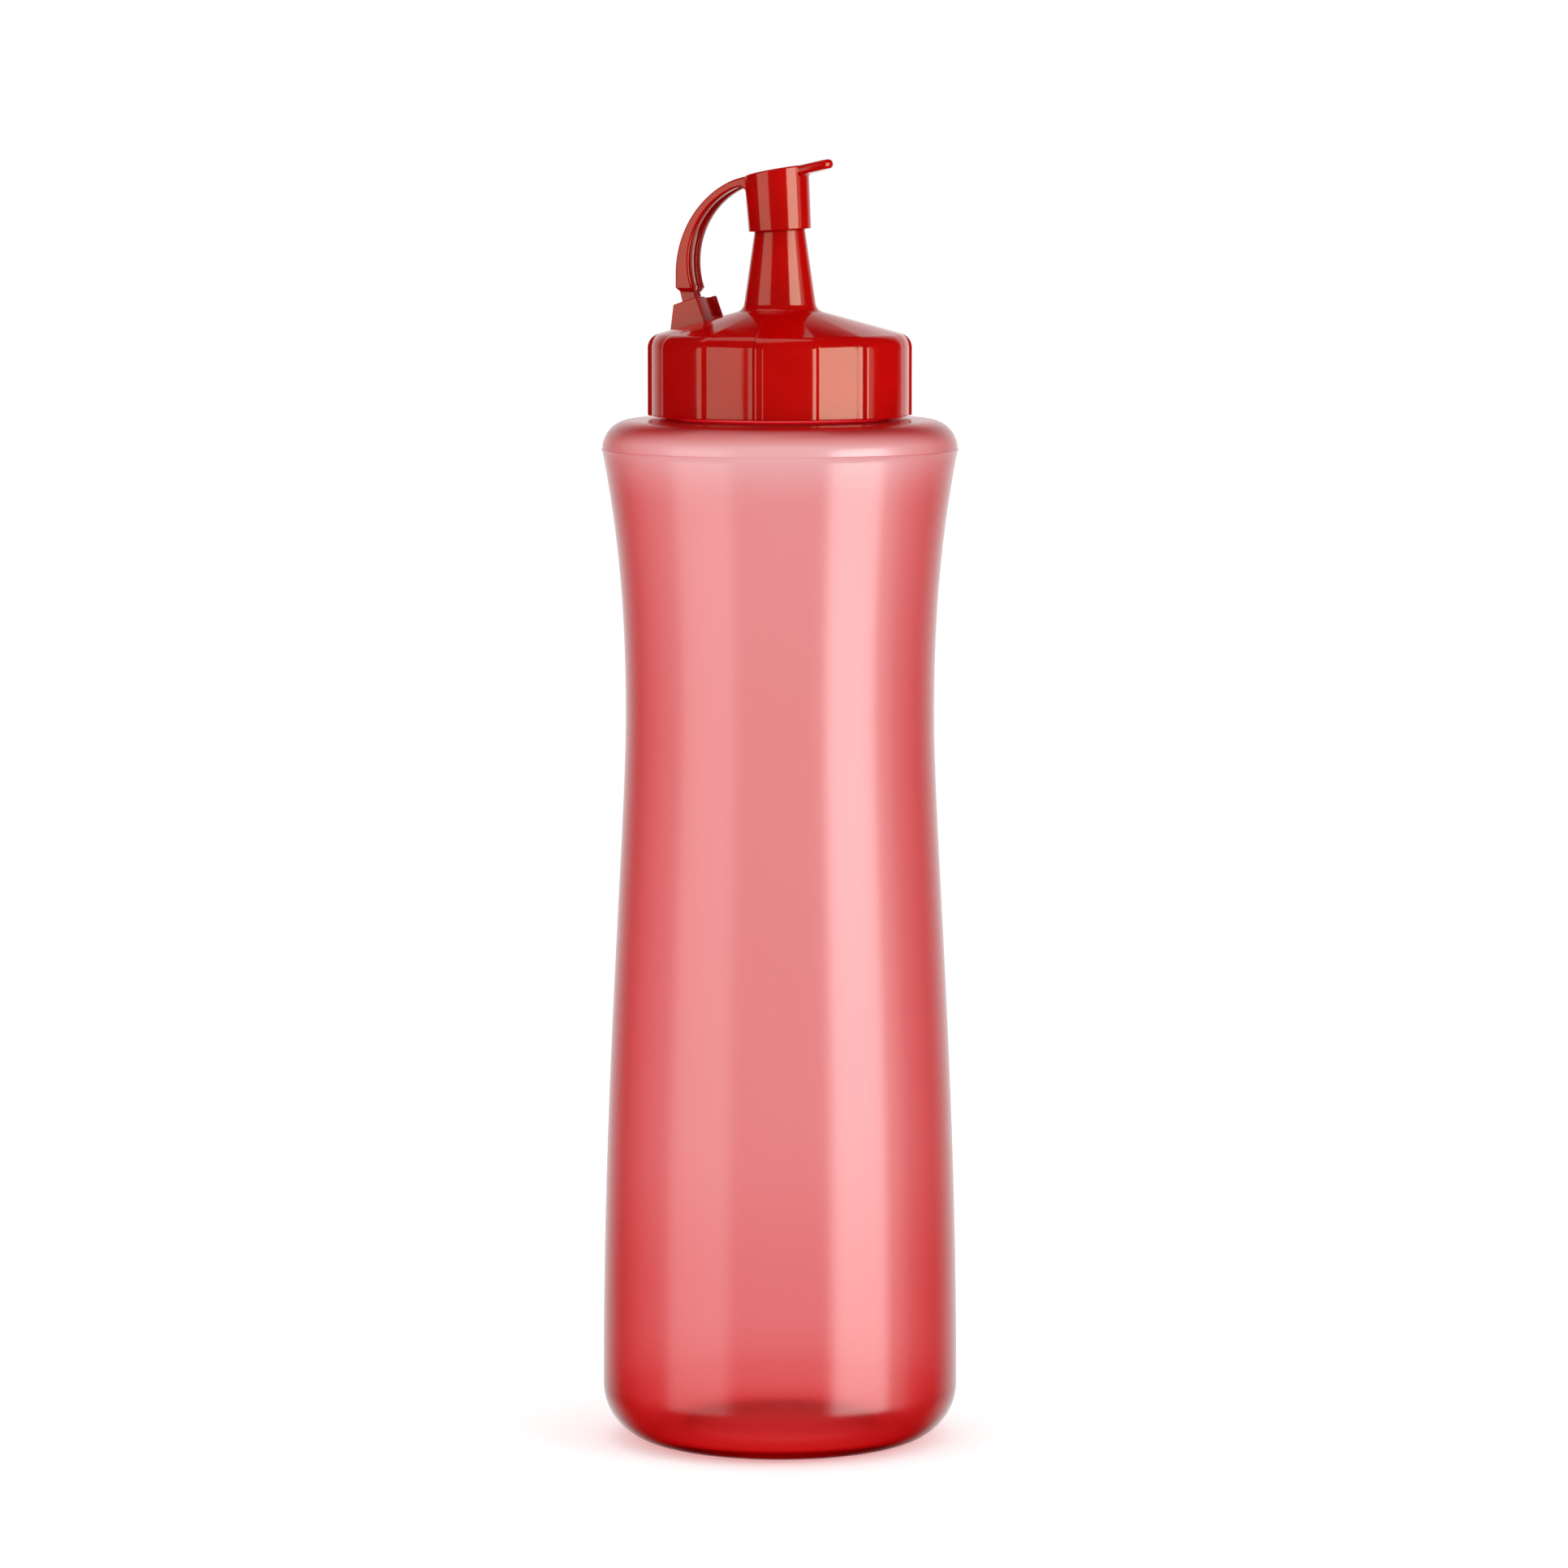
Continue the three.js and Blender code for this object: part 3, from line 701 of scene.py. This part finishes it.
# Seal ring
def make_seal():
    inner, outer = SEAL_INNER + SEAL_EDGE, SEAL_OUTER - SEAL_EDGE
    low, high = seal_low.z + SEAL_EDGE, seal_high.z - SEAL_EDGE
    outline = [
        *arc((inner, low), SEAL_EDGE, 180, 270, 3),
        *arc((outer, low), SEAL_EDGE, 270, 360, 3),
        *arc((outer, high), SEAL_EDGE, 0, 90, 3),
        *arc((inner, high), SEAL_EDGE, 90, 180, 3),
    ]
    shape = turned(outline, even_columns(144), round_place, closed=True)
    made = mesh_object("seal_liner", shape, liner_finish)
    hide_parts("seal_ring")
    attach(made, "seal_body")


make_seal()


# Closure
def panel_share(column):
    """1 on a panel's floor and 0 on the band between panels, with a rounded edge between them."""
    pitch = 360 / PANELS
    turn = (column - PANEL_PHASE) % pitch
    off = min(turn, pitch - turn)
    return 1 - ramp(off, PANEL_FLOOR / 2, PANEL_FLOOR / 2 + PANEL_EDGE)


def line_share(column):
    """1 on a mould line and 0 beside it."""
    offs = [abs((column - line + 180) % 360 - 180) for line in MOULD_LINES]
    return 1 - min(min(offs) / MOULD_LINE_HALF, 1)


def closure_columns():
    """Angles of the closure's columns, closer together at the panels' edges and the mould lines."""
    pitch, half = 360 / PANELS, PANEL_FLOOR / 2
    band = pitch - PANEL_FLOOR - 2 * PANEL_EDGE
    columns = []
    for panel in range(PANELS):
        start = PANEL_PHASE + panel * pitch - half
        for span, steps in ((PANEL_FLOOR, 10), (PANEL_EDGE, 7), (band, 12), (PANEL_EDGE, 7)):
            columns += [start + span * i / steps for i in range(steps)]
            start += span
    for line in MOULD_LINES:
        columns += [line + MOULD_LINE_HALF * side for side in (-1, 0, 1)]
    return sorted(column % 360 for column in columns)


def spout_foot():
    """Middle of the fillet that touches the cone and the spout's side."""
    rise = SPOUT_FILLET / math.cos(CONE_ANGLE)
    reach = SPOUT_FILLET / math.cos(math.atan(SPOUT_SLOPE))
    height = (CONE_APEX + rise - CONE_SLOPE * (TIP_RADIUS + reach + SPOUT_TIP * SPOUT_SLOPE)) / (
        1 - CONE_SLOPE * SPOUT_SLOPE
    )
    return TIP_RADIUS + (SPOUT_TIP - height) * SPOUT_SLOPE + reach, height


def closure_outline():
    """Points of (radius, height, sink out, sink up) round the closure's whole section."""
    corner = (SKIRT_RADIUS - SKIRT_CORNER, SKIRT_CORNER_HEIGHT)
    corner_steps = 20
    edge = (SKIRT_RADIUS - SKIRT_EDGE, SKIRT_BOTTOM + SKIRT_EDGE)
    outline = [(r, z, PANEL_DEPTH, 0) for r, z in arc(edge, SKIRT_EDGE, 270, 360, 4)]
    outline.append((SKIRT_RADIUS, (SKIRT_BOTTOM + SKIRT_CORNER_HEIGHT) / 2, PANEL_DEPTH, 0))
    for i in range(corner_steps + 1):
        share = i / corner_steps
        turn = (math.pi / 2 - CONE_ANGLE) * share
        sink = PANEL_DEPTH * math.cos(math.pi / 2 * share)
        out, up = math.cos(turn), math.sin(turn)
        spot = (corner[0] + SKIRT_CORNER * out, corner[1] + SKIRT_CORNER * up)
        outline.append((*spot, sink * out, sink * up))
    foot = spout_foot()
    spout_turn = math.degrees(math.atan(SPOUT_SLOPE))
    roof_drop = ROOF / math.cos(CONE_ANGLE)
    bore_foot = TIP_RADIUS + (SPOUT_TIP - CONE_APEX) * SPOUT_SLOPE - SPOUT_WALL
    bore_top = SPOUT_TIP - 2 * HOLE_LENGTH
    flare_foot = bore_foot + BORE_FLARE
    plain = [
        *arc(foot, SPOUT_FILLET, 270 - math.degrees(CONE_ANGLE), 180 + spout_turn, 14),
        *arc((TIP_RADIUS - TIP_ROUND, SPOUT_TIP - TIP_ROUND), TIP_ROUND, spout_turn, 90, 5),
        *arc((HOLE_RADIUS + TIP_ROUND, SPOUT_TIP - TIP_ROUND), TIP_ROUND, 90, 180, 5),
        (HOLE_RADIUS, SPOUT_TIP - HOLE_LENGTH),
        (TIP_RADIUS + (SPOUT_TIP - bore_top) * SPOUT_SLOPE - SPOUT_WALL, bore_top),
        (bore_foot, CONE_APEX - roof_drop + BORE_FLARE / 2),
        (bore_foot + BORE_FLARE / 4, CONE_APEX - roof_drop),
        (flare_foot, cone_height(flare_foot) - roof_drop),
        (SEAL_INNER, SEAL_LAND),
    ]
    top, bottom = SEAL_LAND, SKIRT_BOTTOM + MOUTH_CHAMFER
    plain += [
        (SKIRT_INSIDE, top + (bottom - top) * i / THREAD_RINGS) for i in range(THREAD_RINGS + 1)
    ]
    plain += [(SKIRT_INSIDE + MOUTH_CHAMFER, SKIRT_BOTTOM)]
    return outline + [(r, z, 0, 0) for r, z in plain]


def make_closure():
    def place(angle, spot):
        radius, height, sink_out, sink_up = spot
        column = math.degrees(angle)
        if sink_out or sink_up:
            sink = panel_share(column)
            radius += MOULD_LINE_RISE * line_share(column) - sink_out * sink
            height -= sink_up * sink
        elif radius == SKIRT_INSIDE:
            radius -= thread_rise(angle, height, THREAD_BOTTOM)
        return round_place(angle, (radius, height))

    shape = turned(closure_outline(), closure_columns(), place, closed=True)
    made = mesh_object("closure_shell", shape, cap_finish)
    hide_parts("closure")
    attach(made, "closure_body")


def make_hinge_block():
    """The block on the cone, with a pocket for the strap's tongue and a recess in its inner side.

    The recess lies off the middle, towards +Y.
    """
    inner_foot, inner_top = BLOCK_BASE, BLOCK_BASE - BLOCK_INNER_LEAN
    made = mesh_object(
        "hinge_block",
        slab(
            [
                on_block(-BURIED * BLOCK_OUTER_LEAN / BLOCK_HEIGHT, -BURIED),
                on_block(inner_foot + BURIED * BLOCK_INNER_LEAN / BLOCK_HEIGHT, -BURIED),
                on_block(inner_top, BLOCK_HEIGHT + BLOCK_INNER_RISE),
                on_block(BLOCK_OUTER_LEAN, BLOCK_HEIGHT),
            ],
            BLOCK_SIDES,
        ),
        cap_finish,
    )
    past = BLOCK_HEIGHT + 1
    near = BLOCK_OUTER_LEAN + ROOT_INSET - ROOT_GAP
    far = near + ROOT_THICKNESS + 3 * ROOT_GAP
    pocket = [
        on_block(near, SOCKET_FLOOR),
        on_block(far, SOCKET_FLOOR),
        on_block(far, past),
        on_block(near, past),
    ]
    half = ROOT_WIDTH / 2 + ROOT_GAP
    recess = [
        on_block(inner_foot - RECESS_DEPTH, RECESS_FLOOR),
        on_block(inner_foot + 1, RECESS_FLOOR),
        on_block(inner_foot + 1, past),
        on_block(inner_top - RECESS_DEPTH, past),
    ]
    for outline, sides in ((pocket, (-half, half)), (recess, RECESS_SIDES)):
        cut(made, mesh_object("cutter", slab(outline, sides)))
    bevelled(made, BLOCK_EDGE)
    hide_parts("closure")
    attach(made, "closure_body")


make_closure()
make_hinge_block()


# Strap with its root, and the tip cover
def upright_arc(start, end):
    """Centre, radius and end angle of the arc that is upright at start and ends at end."""
    across, rise = end[0] - start[0], end[1] - start[1]
    radius = (across**2 + rise**2) / (2 * across)
    centre = (start[0] + radius, start[1])
    return centre, radius, math.degrees(math.atan2(rise, end[0] - centre[0]))


def strap_section(outer, inner):
    """A ring of points across the strap: flat outer side with rounded edges, two ribs inside."""
    across = Vector((inner[0] - outer[0], inner[1] - outer[1]))
    thickness = across.length
    across /= thickness
    half = STRAP_WIDTH / 2
    edge, crest = STRAP_EDGE, RIB_CREST
    groove = GROOVE_WIDTH / 2
    side = [
        *arc((half - edge, edge), edge, -90, 0, 4),
        *arc((half - crest, thickness - crest), crest, 0, 90, 5),
        *arc((groove + crest, thickness - crest), crest, 90, 180, 5),
        (groove, thickness - GROOVE_DEPTH + GROOVE_CORNER),
        (groove - GROOVE_CORNER, thickness - GROOVE_DEPTH),
    ]
    outline = side + [(-y, depth) for y, depth in reversed(side)]
    return [(outer[0] + across.x * depth, y, outer[1] + across.y * depth) for y, depth in outline]


def strap_paths():
    """Matching points on the strap's outer and inner side, from its foot to the cover."""
    outer_x = root_low.x - STRAP_STAND_OUT
    inner_x = outer_x + FOOT_THICKNESS
    end_x = STRAP_END + STRAP_SUNK
    end_top = (end_x, plate_height(end_x) + STRAP_PROUD)
    end_under = (end_x, plate_height(end_x) - END_THICKNESS)
    outer = upright_arc((outer_x, STRAP_FOOT + OUTER_STRAIGHT), end_top)
    inner = upright_arc((inner_x, STRAP_FOOT + INNER_TURN), end_under)
    steps = 56
    pairs = []
    for i in range(steps + 1):
        share = i / steps
        foot_share = min(share / FOOT_SHARE, 1)
        if foot_share < 1:
            height = STRAP_FOOT + FOOT_CHAMFER + (OUTER_STRAIGHT - FOOT_CHAMFER) * foot_share
            outer_spot = (outer_x, height)
        else:
            turn = 180 + (outer[2] - 180) * (share - FOOT_SHARE) / (1 - FOOT_SHARE)
            outer_spot = arc(outer[0], outer[1], turn, turn, 1)[0]
        low_turn = 180 + math.degrees(math.asin((INNER_TURN - FOOT_CHAMFER) / inner[1]))
        turn = low_turn + (inner[2] - low_turn) * share
        x, z = arc(inner[0], inner[1], turn, turn, 1)[0]
        near = max(STRAP_FILLET - max(STRAP_END - x, 0), 0)
        z -= STRAP_FILLET - math.sqrt(STRAP_FILLET**2 - near**2)
        pairs.append((outer_spot, (x, z)))
    return pairs


strap_pairs = strap_paths()


def strap_sections():
    sections = []
    for i, (outer, inner) in enumerate(strap_pairs):
        # the end wraps onto the round side of the cover
        wrap = ramp(i / (len(strap_pairs) - 1), WRAP_FROM, 1)
        sections.append(
            [
                (x + wrap * (COVER_TOP_RADIUS - math.sqrt(COVER_TOP_RADIUS**2 - y**2)), y, z)
                for x, y, z in strap_section(outer, inner)
            ]
        )
    # the foot narrows below its chamfer
    first = sections[0]
    middle = sum((Vector(p) for p in first), Vector()) / len(first)
    low = []
    for x, y, z in first:
        shrunk_y = y * (1 - FOOT_CHAMFER / (STRAP_WIDTH / 2))
        shrunk_x = middle.x + (x - middle.x) * (1 - FOOT_CHAMFER / FOOT_THICKNESS)
        low.append((shrunk_x, shrunk_y, STRAP_FOOT))
    return [low] + sections


def make_strap():
    sections = strap_sections()
    middle = len(sections) // 2
    lower = mesh_object("strap_lower", lofted(sections[: middle + 1]), cap_finish)
    upper = mesh_object("strap_upper", lofted(sections[middle:]), cap_finish)
    near = BLOCK_OUTER_LEAN + ROOT_INSET
    root = mesh_object(
        "strap_tongue",
        slab(
            [
                on_block(near, SOCKET_FLOOR + ROOT_LIFT),
                on_block(near + ROOT_THICKNESS, SOCKET_FLOOR + ROOT_LIFT),
                (root_low.x + ROOT_THICKNESS, STRAP_FOOT + ROOT_OVERLAP),
                (root_low.x, STRAP_FOOT + ROOT_OVERLAP),
            ],
            (-ROOT_WIDTH / 2, ROOT_WIDTH / 2),
        ),
        cap_finish,
    )
    bevelled(root, ROOT_EDGE)
    for made in (lower, upper, root):
        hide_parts("strap_root" if made is root else "strap")
    for made in (lower, root):
        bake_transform(made)
    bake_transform(upper)


make_strap()


def lean(x, y, z):
    """A place on the cover's own axis, leaned over towards the strap."""
    sine, cosine = math.sin(COVER_TILT), math.cos(COVER_TILT)
    return x * cosine - z * sine, y, COVER_MOUTH + x * sine + z * cosine


def make_cover():
    climb = math.tan(COVER_SLANT - COVER_TILT)
    roof = COVER_LENGTH - (COVER_BORE - COVER_BORE_TAPER) * climb - COVER_ROOF
    boss_face = COVER_OVERLAP / math.cos(COVER_TILT) + BOSS_GAP + BOSS_RADIUS * math.tan(COVER_TILT)
    mouth = (COVER_RADIUS - MOUTH_EDGE, MOUTH_EDGE)
    rim = (COVER_TOP_RADIUS - COVER_EDGE, COVER_LENGTH - COVER_EDGE)
    crown = [(COVER_TOP_RADIUS - COVER_EDGE) * (1 - i / 8) for i in range(1, 9)]
    outline = [
        *((r, z, 0) for r, z in arc(mouth, MOUTH_EDGE, 270, 360, 3)),
        *((r, z, climb) for r, z in arc(rim, COVER_EDGE, 0, 90, 6)),
        *((r, COVER_LENGTH + COVER_DOME * (1 - (r / COVER_TOP_RADIUS) ** 2), climb) for r in crown),
    ]
    inside = [
        (0, boss_face - PLUG_DEPTH),
        (PLUG_TIP, boss_face - PLUG_DEPTH),
        (PLUG_RADIUS, boss_face),
        (BOSS_RADIUS, boss_face),
        (BOSS_RADIUS, roof),
        (COVER_BORE - COVER_BORE_TAPER, roof),
        (COVER_BORE, MOUTH_EDGE),
        (COVER_BORE + MOUTH_EDGE / 2, 0),
    ]
    whole = [(r, z, 0) for r, z in inside] + outline

    def place(angle, spot):
        radius, height, slant = spot
        x, y = radius * math.cos(angle), radius * math.sin(angle)
        return lean(x, y, height + x * slant)

    made = mesh_object("cover_cup", turned(whole, even_columns(120), place), cap_finish)
    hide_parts("tip_cover")
    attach(made, "cover_body")


def make_thumb_tab():
    rim_x = COVER_TOP_X + COVER_TOP_RADIUS
    root_x = COVER_TOP_RADIUS / 2
    tip_x = rim_x + TAB_LENGTH - TAB_TIP
    plan = [
        (root_x, -TAB_ROOT_HALF),
        *arc((tip_x, 0), TAB_TIP, -TAB_TIP_SPREAD, TAB_TIP_SPREAD, 24),
        (root_x, TAB_ROOT_HALF),
    ]
    turn = Matrix.Rotation(-TAB_SLANT, 3, "Y")
    pivot = Vector((rim_x, 0, plate_height(rim_x)))

    def spot(x, y, depth):
        return tuple(turn @ Vector((x - rim_x, y, -depth)) + pivot)

    sections = [[spot(x, y, depth) for x, y in plan] for depth in (TAB_THICKNESS, 0)]
    made = bevelled(mesh_object("thumb_tab", lofted(sections), cap_finish), TAB_EDGE, 6, 40)

    # a fillet between the tab's underside and the cover's side
    def under_tab(turn, out, drop):
        x = COVER_TOP_X + (COVER_TOP_RADIUS + out) * math.cos(turn)
        under = plate_height(rim_x) + (x - rim_x) * math.tan(TAB_SLANT) - TAB_THICKNESS
        return x, (COVER_TOP_RADIUS + out) * math.sin(turn), under - drop

    half_turn = math.asin((TAB_ROOT_HALF - TAB_FILLET_SHORT) / COVER_TOP_RADIUS)
    fillet_out, fillet_down = TAB_FILLET
    buried_out, buried_up = TAB_FILLET_BURIED
    profile = [
        (buried_out, buried_up),
        (fillet_out, buried_up),
        *(
            (fillet_out * (1 + math.cos(t)), fillet_down * (1 - math.sin(t)))
            for t in (math.radians(90 + 15 * i) for i in range(7))
        ),
        (TAB_FILLET_FOOT, fillet_down),
        (buried_out, fillet_down),
    ]
    ribs = [[under_tab(half_turn * (i / 8 - 1), *spot) for spot in profile] for i in range(17)]
    rib = mesh_object("tab_fillet", lofted(ribs), cap_finish)
    for piece in (made, rib):
        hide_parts("tip_cover")
        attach(piece, "cover_body")


make_cover()
make_thumb_tab()


# Floor, light and camera
CAMERA_TURN = 25  # degrees from the -Y side, towards +X
AMBIENT = 0.8  # the studio's white light on matt surfaces
ROOM_LEVEL = 0.005  # the dark room that a gloss shows
BACKDROP_TURN = CAMERA_TURN - 3
BACKDROP_AIM = (0.98, -0.2)  # the direction to its middle: along the floor, and up
BACKDROP_SPAN = (0.6, 0.97)  # cosines off its middle between which it comes in
BACKDROP_SHADE = (-0.55, -0.36)  # rise of a ray: it is dark below the first, clear above the second
FLOOR_GLOW = 0.3
FLOOR_RADIUS = 1600
FLOOR_PAPER = 350  # the sweep's plain middle
FLOOR_FADE = 1000  # from here on the sweep is as white as the backdrop
STRIP_DISTANCE = 900
STRIP_BOTTOM = -260
STRIP_TOP = 620


def pale_floor():
    """Matt white paper sweep, lit up to white round the shadow and fading into the backdrop."""
    finish, tree = new_material("paper_sweep")
    rays = add_node(tree, "ShaderNodeLightPath")
    paper = add_node(tree, "ShaderNodeBsdfDiffuse", {"Color": paint("#f4f4f4")})
    glow = add_node(tree, "ShaderNodeEmission", {"Color": paint("#ffffff"), "Strength": FLOOR_GLOW})
    lit = add_node(tree, "ShaderNodeAddShader", links={0: paper.outputs[0], 1: glow.outputs[0]})
    backdrop = add_node(tree, "ShaderNodeEmission", {"Color": paint("#ffffff"), "Strength": 1})
    place = add_node(tree, "ShaderNodeTexCoord").outputs["Object"]
    away = add_node(tree, "ShaderNodeVectorMath", {"operation": "LENGTH"}, {0: place})
    fade = add_node(
        tree,
        "ShaderNodeMapRange",
        {
            "interpolation_type": "SMOOTHSTEP",
            "From Min": FLOOR_PAPER * MM,
            "From Max": FLOOR_FADE * MM,
        },
        {"Value": away.outputs["Value"]},
    )
    plain = add_node(
        tree,
        "ShaderNodeMath",
        {"operation": "MAXIMUM"},
        {0: fade.outputs["Result"], 1: rays.outputs["Is Transmission Ray"]},
    )
    white = add_node(
        tree,
        "ShaderNodeMixShader",
        links={"Fac": plain.outputs[0], 1: lit.outputs[0], 2: backdrop.outputs[0]},
    )
    shown = add_node(
        tree,
        "ShaderNodeMixShader",
        links={"Fac": seen_directly(tree, rays), 1: paper.outputs[0], 2: white.outputs[0]},
    )
    past = add_node(tree, "ShaderNodeBsdfTransparent")
    surface = add_node(
        tree,
        "ShaderNodeMixShader",
        links={"Fac": mirrored(tree, rays), 1: shown.outputs[0], 2: past.outputs[0]},
    )
    add_node(tree, "ShaderNodeOutputMaterial", links={"Surface": surface.outputs[0]})
    return finish


def mirrored(tree, rays):
    """1 for rays that a gloss throws back.

    Rays through a rough clear wall count as glossy too, and give 0.
    """
    through = rays.outputs["Is Transmission Ray"]
    kept = add_node(
        tree,
        "ShaderNodeMath",
        {"operation": "SUBTRACT", "use_clamp": True},
        {0: rays.outputs["Is Glossy Ray"], 1: through},
    )
    return kept.outputs[0]


def seen_directly(tree, rays):
    """1 for rays that show the surroundings: from the camera, in gloss and through the wall."""
    gloss = add_node(
        tree,
        "ShaderNodeMath",
        {"operation": "MAXIMUM"},
        {0: rays.outputs["Is Camera Ray"], 1: rays.outputs["Is Glossy Ray"]},
    )
    through = add_node(
        tree,
        "ShaderNodeMath",
        {"operation": "MAXIMUM"},
        {0: gloss.outputs[0], 1: rays.outputs["Is Transmission Ray"]},
    )
    return through.outputs[0]


def make_floor():
    turns = map(math.radians, range(0, 360, 3))
    rim = [(FLOOR_RADIUS * math.cos(t), FLOOR_RADIUS * math.sin(t), 0) for t in turns]
    mesh_object("floor", (rim, [list(range(len(rim)))]), pale_floor())


def make_world():
    """A white studio. Gloss shows the white backdrop behind the bottle and a dark room in front."""
    world = bpy.data.worlds.new("studio")
    bpy.context.scene.world = world
    world.use_nodes = True
    tree = world.node_tree
    tree.nodes.clear()
    rays = add_node(tree, "ShaderNodeLightPath")
    toward = add_node(tree, "ShaderNodeTexCoord").outputs["Generated"]
    turn = math.radians(BACKDROP_TURN)
    along, up = BACKDROP_AIM
    middle = (-along * math.sin(turn), along * math.cos(turn), up)
    behind = add_node(
        tree,
        "ShaderNodeVectorMath",
        {"operation": "DOT_PRODUCT", 1: middle},
        {0: toward},
    )
    room = add_node(
        tree,
        "ShaderNodeMapRange",
        {
            "From Min": BACKDROP_SPAN[0],
            "From Max": BACKDROP_SPAN[1],
            "To Min": ROOM_LEVEL,
            "To Max": 1,
        },
        {"Value": behind.outputs["Value"]},
    )
    # steeply below, a gloss shows the shade under the bottle
    rise = add_node(tree, "ShaderNodeSeparateXYZ", links={0: toward}).outputs["Z"]
    shade = add_node(
        tree,
        "ShaderNodeMapRange",
        {"From Min": BACKDROP_SHADE[0], "From Max": BACKDROP_SHADE[1]},
        {"Value": rise},
    )
    around = add_node(
        tree,
        "ShaderNodeMath",
        {"operation": "MULTIPLY"},
        {0: room.outputs["Result"], 1: shade.outputs["Result"]},
    )
    diffuse = add_node(
        tree,
        "ShaderNodeMapRange",
        {"To Min": AMBIENT, "To Max": 1},
        {"Value": seen_directly(tree, rays)},
    )
    level = add_node(
        tree,
        "ShaderNodeMix",
        {"data_type": "FLOAT"},
        {"Factor": mirrored(tree, rays), "A": diffuse.outputs["Result"], "B": around.outputs[0]},
    )
    sky = add_node(
        tree,
        "ShaderNodeBackground",
        {"Color": paint("#ffffff")},
        {"Strength": level.outputs["Result"]},
    )
    add_node(tree, "ShaderNodeOutputWorld", links={"Surface": sky.outputs[0]})


def add_softbox(name, place, aim, width, height, level):
    """A soft rectangle of light. level is its brightness, where 1 is a white page."""
    light = bpy.data.lights.new(name, "AREA")
    light.shape = "RECTANGLE"
    light.size, light.size_y = width * MM, height * MM
    light.energy = level * math.pi * light.size * light.size_y
    lamp = bpy.data.objects.new(name, light)
    lamp.location = Vector(place) * MM
    lamp.rotation_euler = (Vector(aim) - Vector(place)).to_track_quat("-Z", "Y").to_euler()
    lamp.visible_camera = False
    bpy.context.scene.collection.objects.link(lamp)


def add_strip(name, start, end, level):
    """An upright softbox that faces the bottle, between two angles to the camera's right.

    It reaches below the floor, which gloss looks through, so that its reflection runs down to
    the base.
    """
    middle = math.radians(CAMERA_TURN - 90 + (start + end) / 2)
    width = 2 * STRIP_DISTANCE * math.tan(math.radians(end - start) / 2)
    height = (STRIP_TOP + STRIP_BOTTOM) / 2
    place = (STRIP_DISTANCE * math.cos(middle), STRIP_DISTANCE * math.sin(middle), height)
    add_softbox(name, place, (0, 0, height), width, STRIP_TOP - STRIP_BOTTOM, level)


def make_camera():
    distance, height, pitch = 1537.6, 304.5, math.radians(5.75)
    focal_share, frame_width = 8400 / 1932, 36
    aside = 5 / 8400  # radians: the bottle stands a little left of the frame's middle
    turn = math.radians(CAMERA_TURN)
    camera = bpy.data.objects.new("camera", bpy.data.cameras.new("camera"))
    camera.data.sensor_width = frame_width
    camera.data.lens = frame_width * focal_share
    camera.data.clip_start, camera.data.clip_end = 0.1, 60
    camera.location = Vector((distance * math.sin(turn), -distance * math.cos(turn), height)) * MM
    camera.rotation_euler = (math.pi / 2 - pitch, 0, turn - aside)
    bpy.context.scene.collection.objects.link(camera)
    bpy.context.scene.camera = camera


make_floor()
make_world()
add_strip("left_softbox", -76, -33, 1.05)
add_strip("right_softbox", 34, 73, 3.5)
add_strip("right_edge_softbox", 73, 88, 0.6)
add_softbox("top_softbox", (-250, 100, 1300), (0, 0, 150), 800, 800, 0.6)
make_camera()
bpy.context.scene.view_settings.view_transform = "Standard"
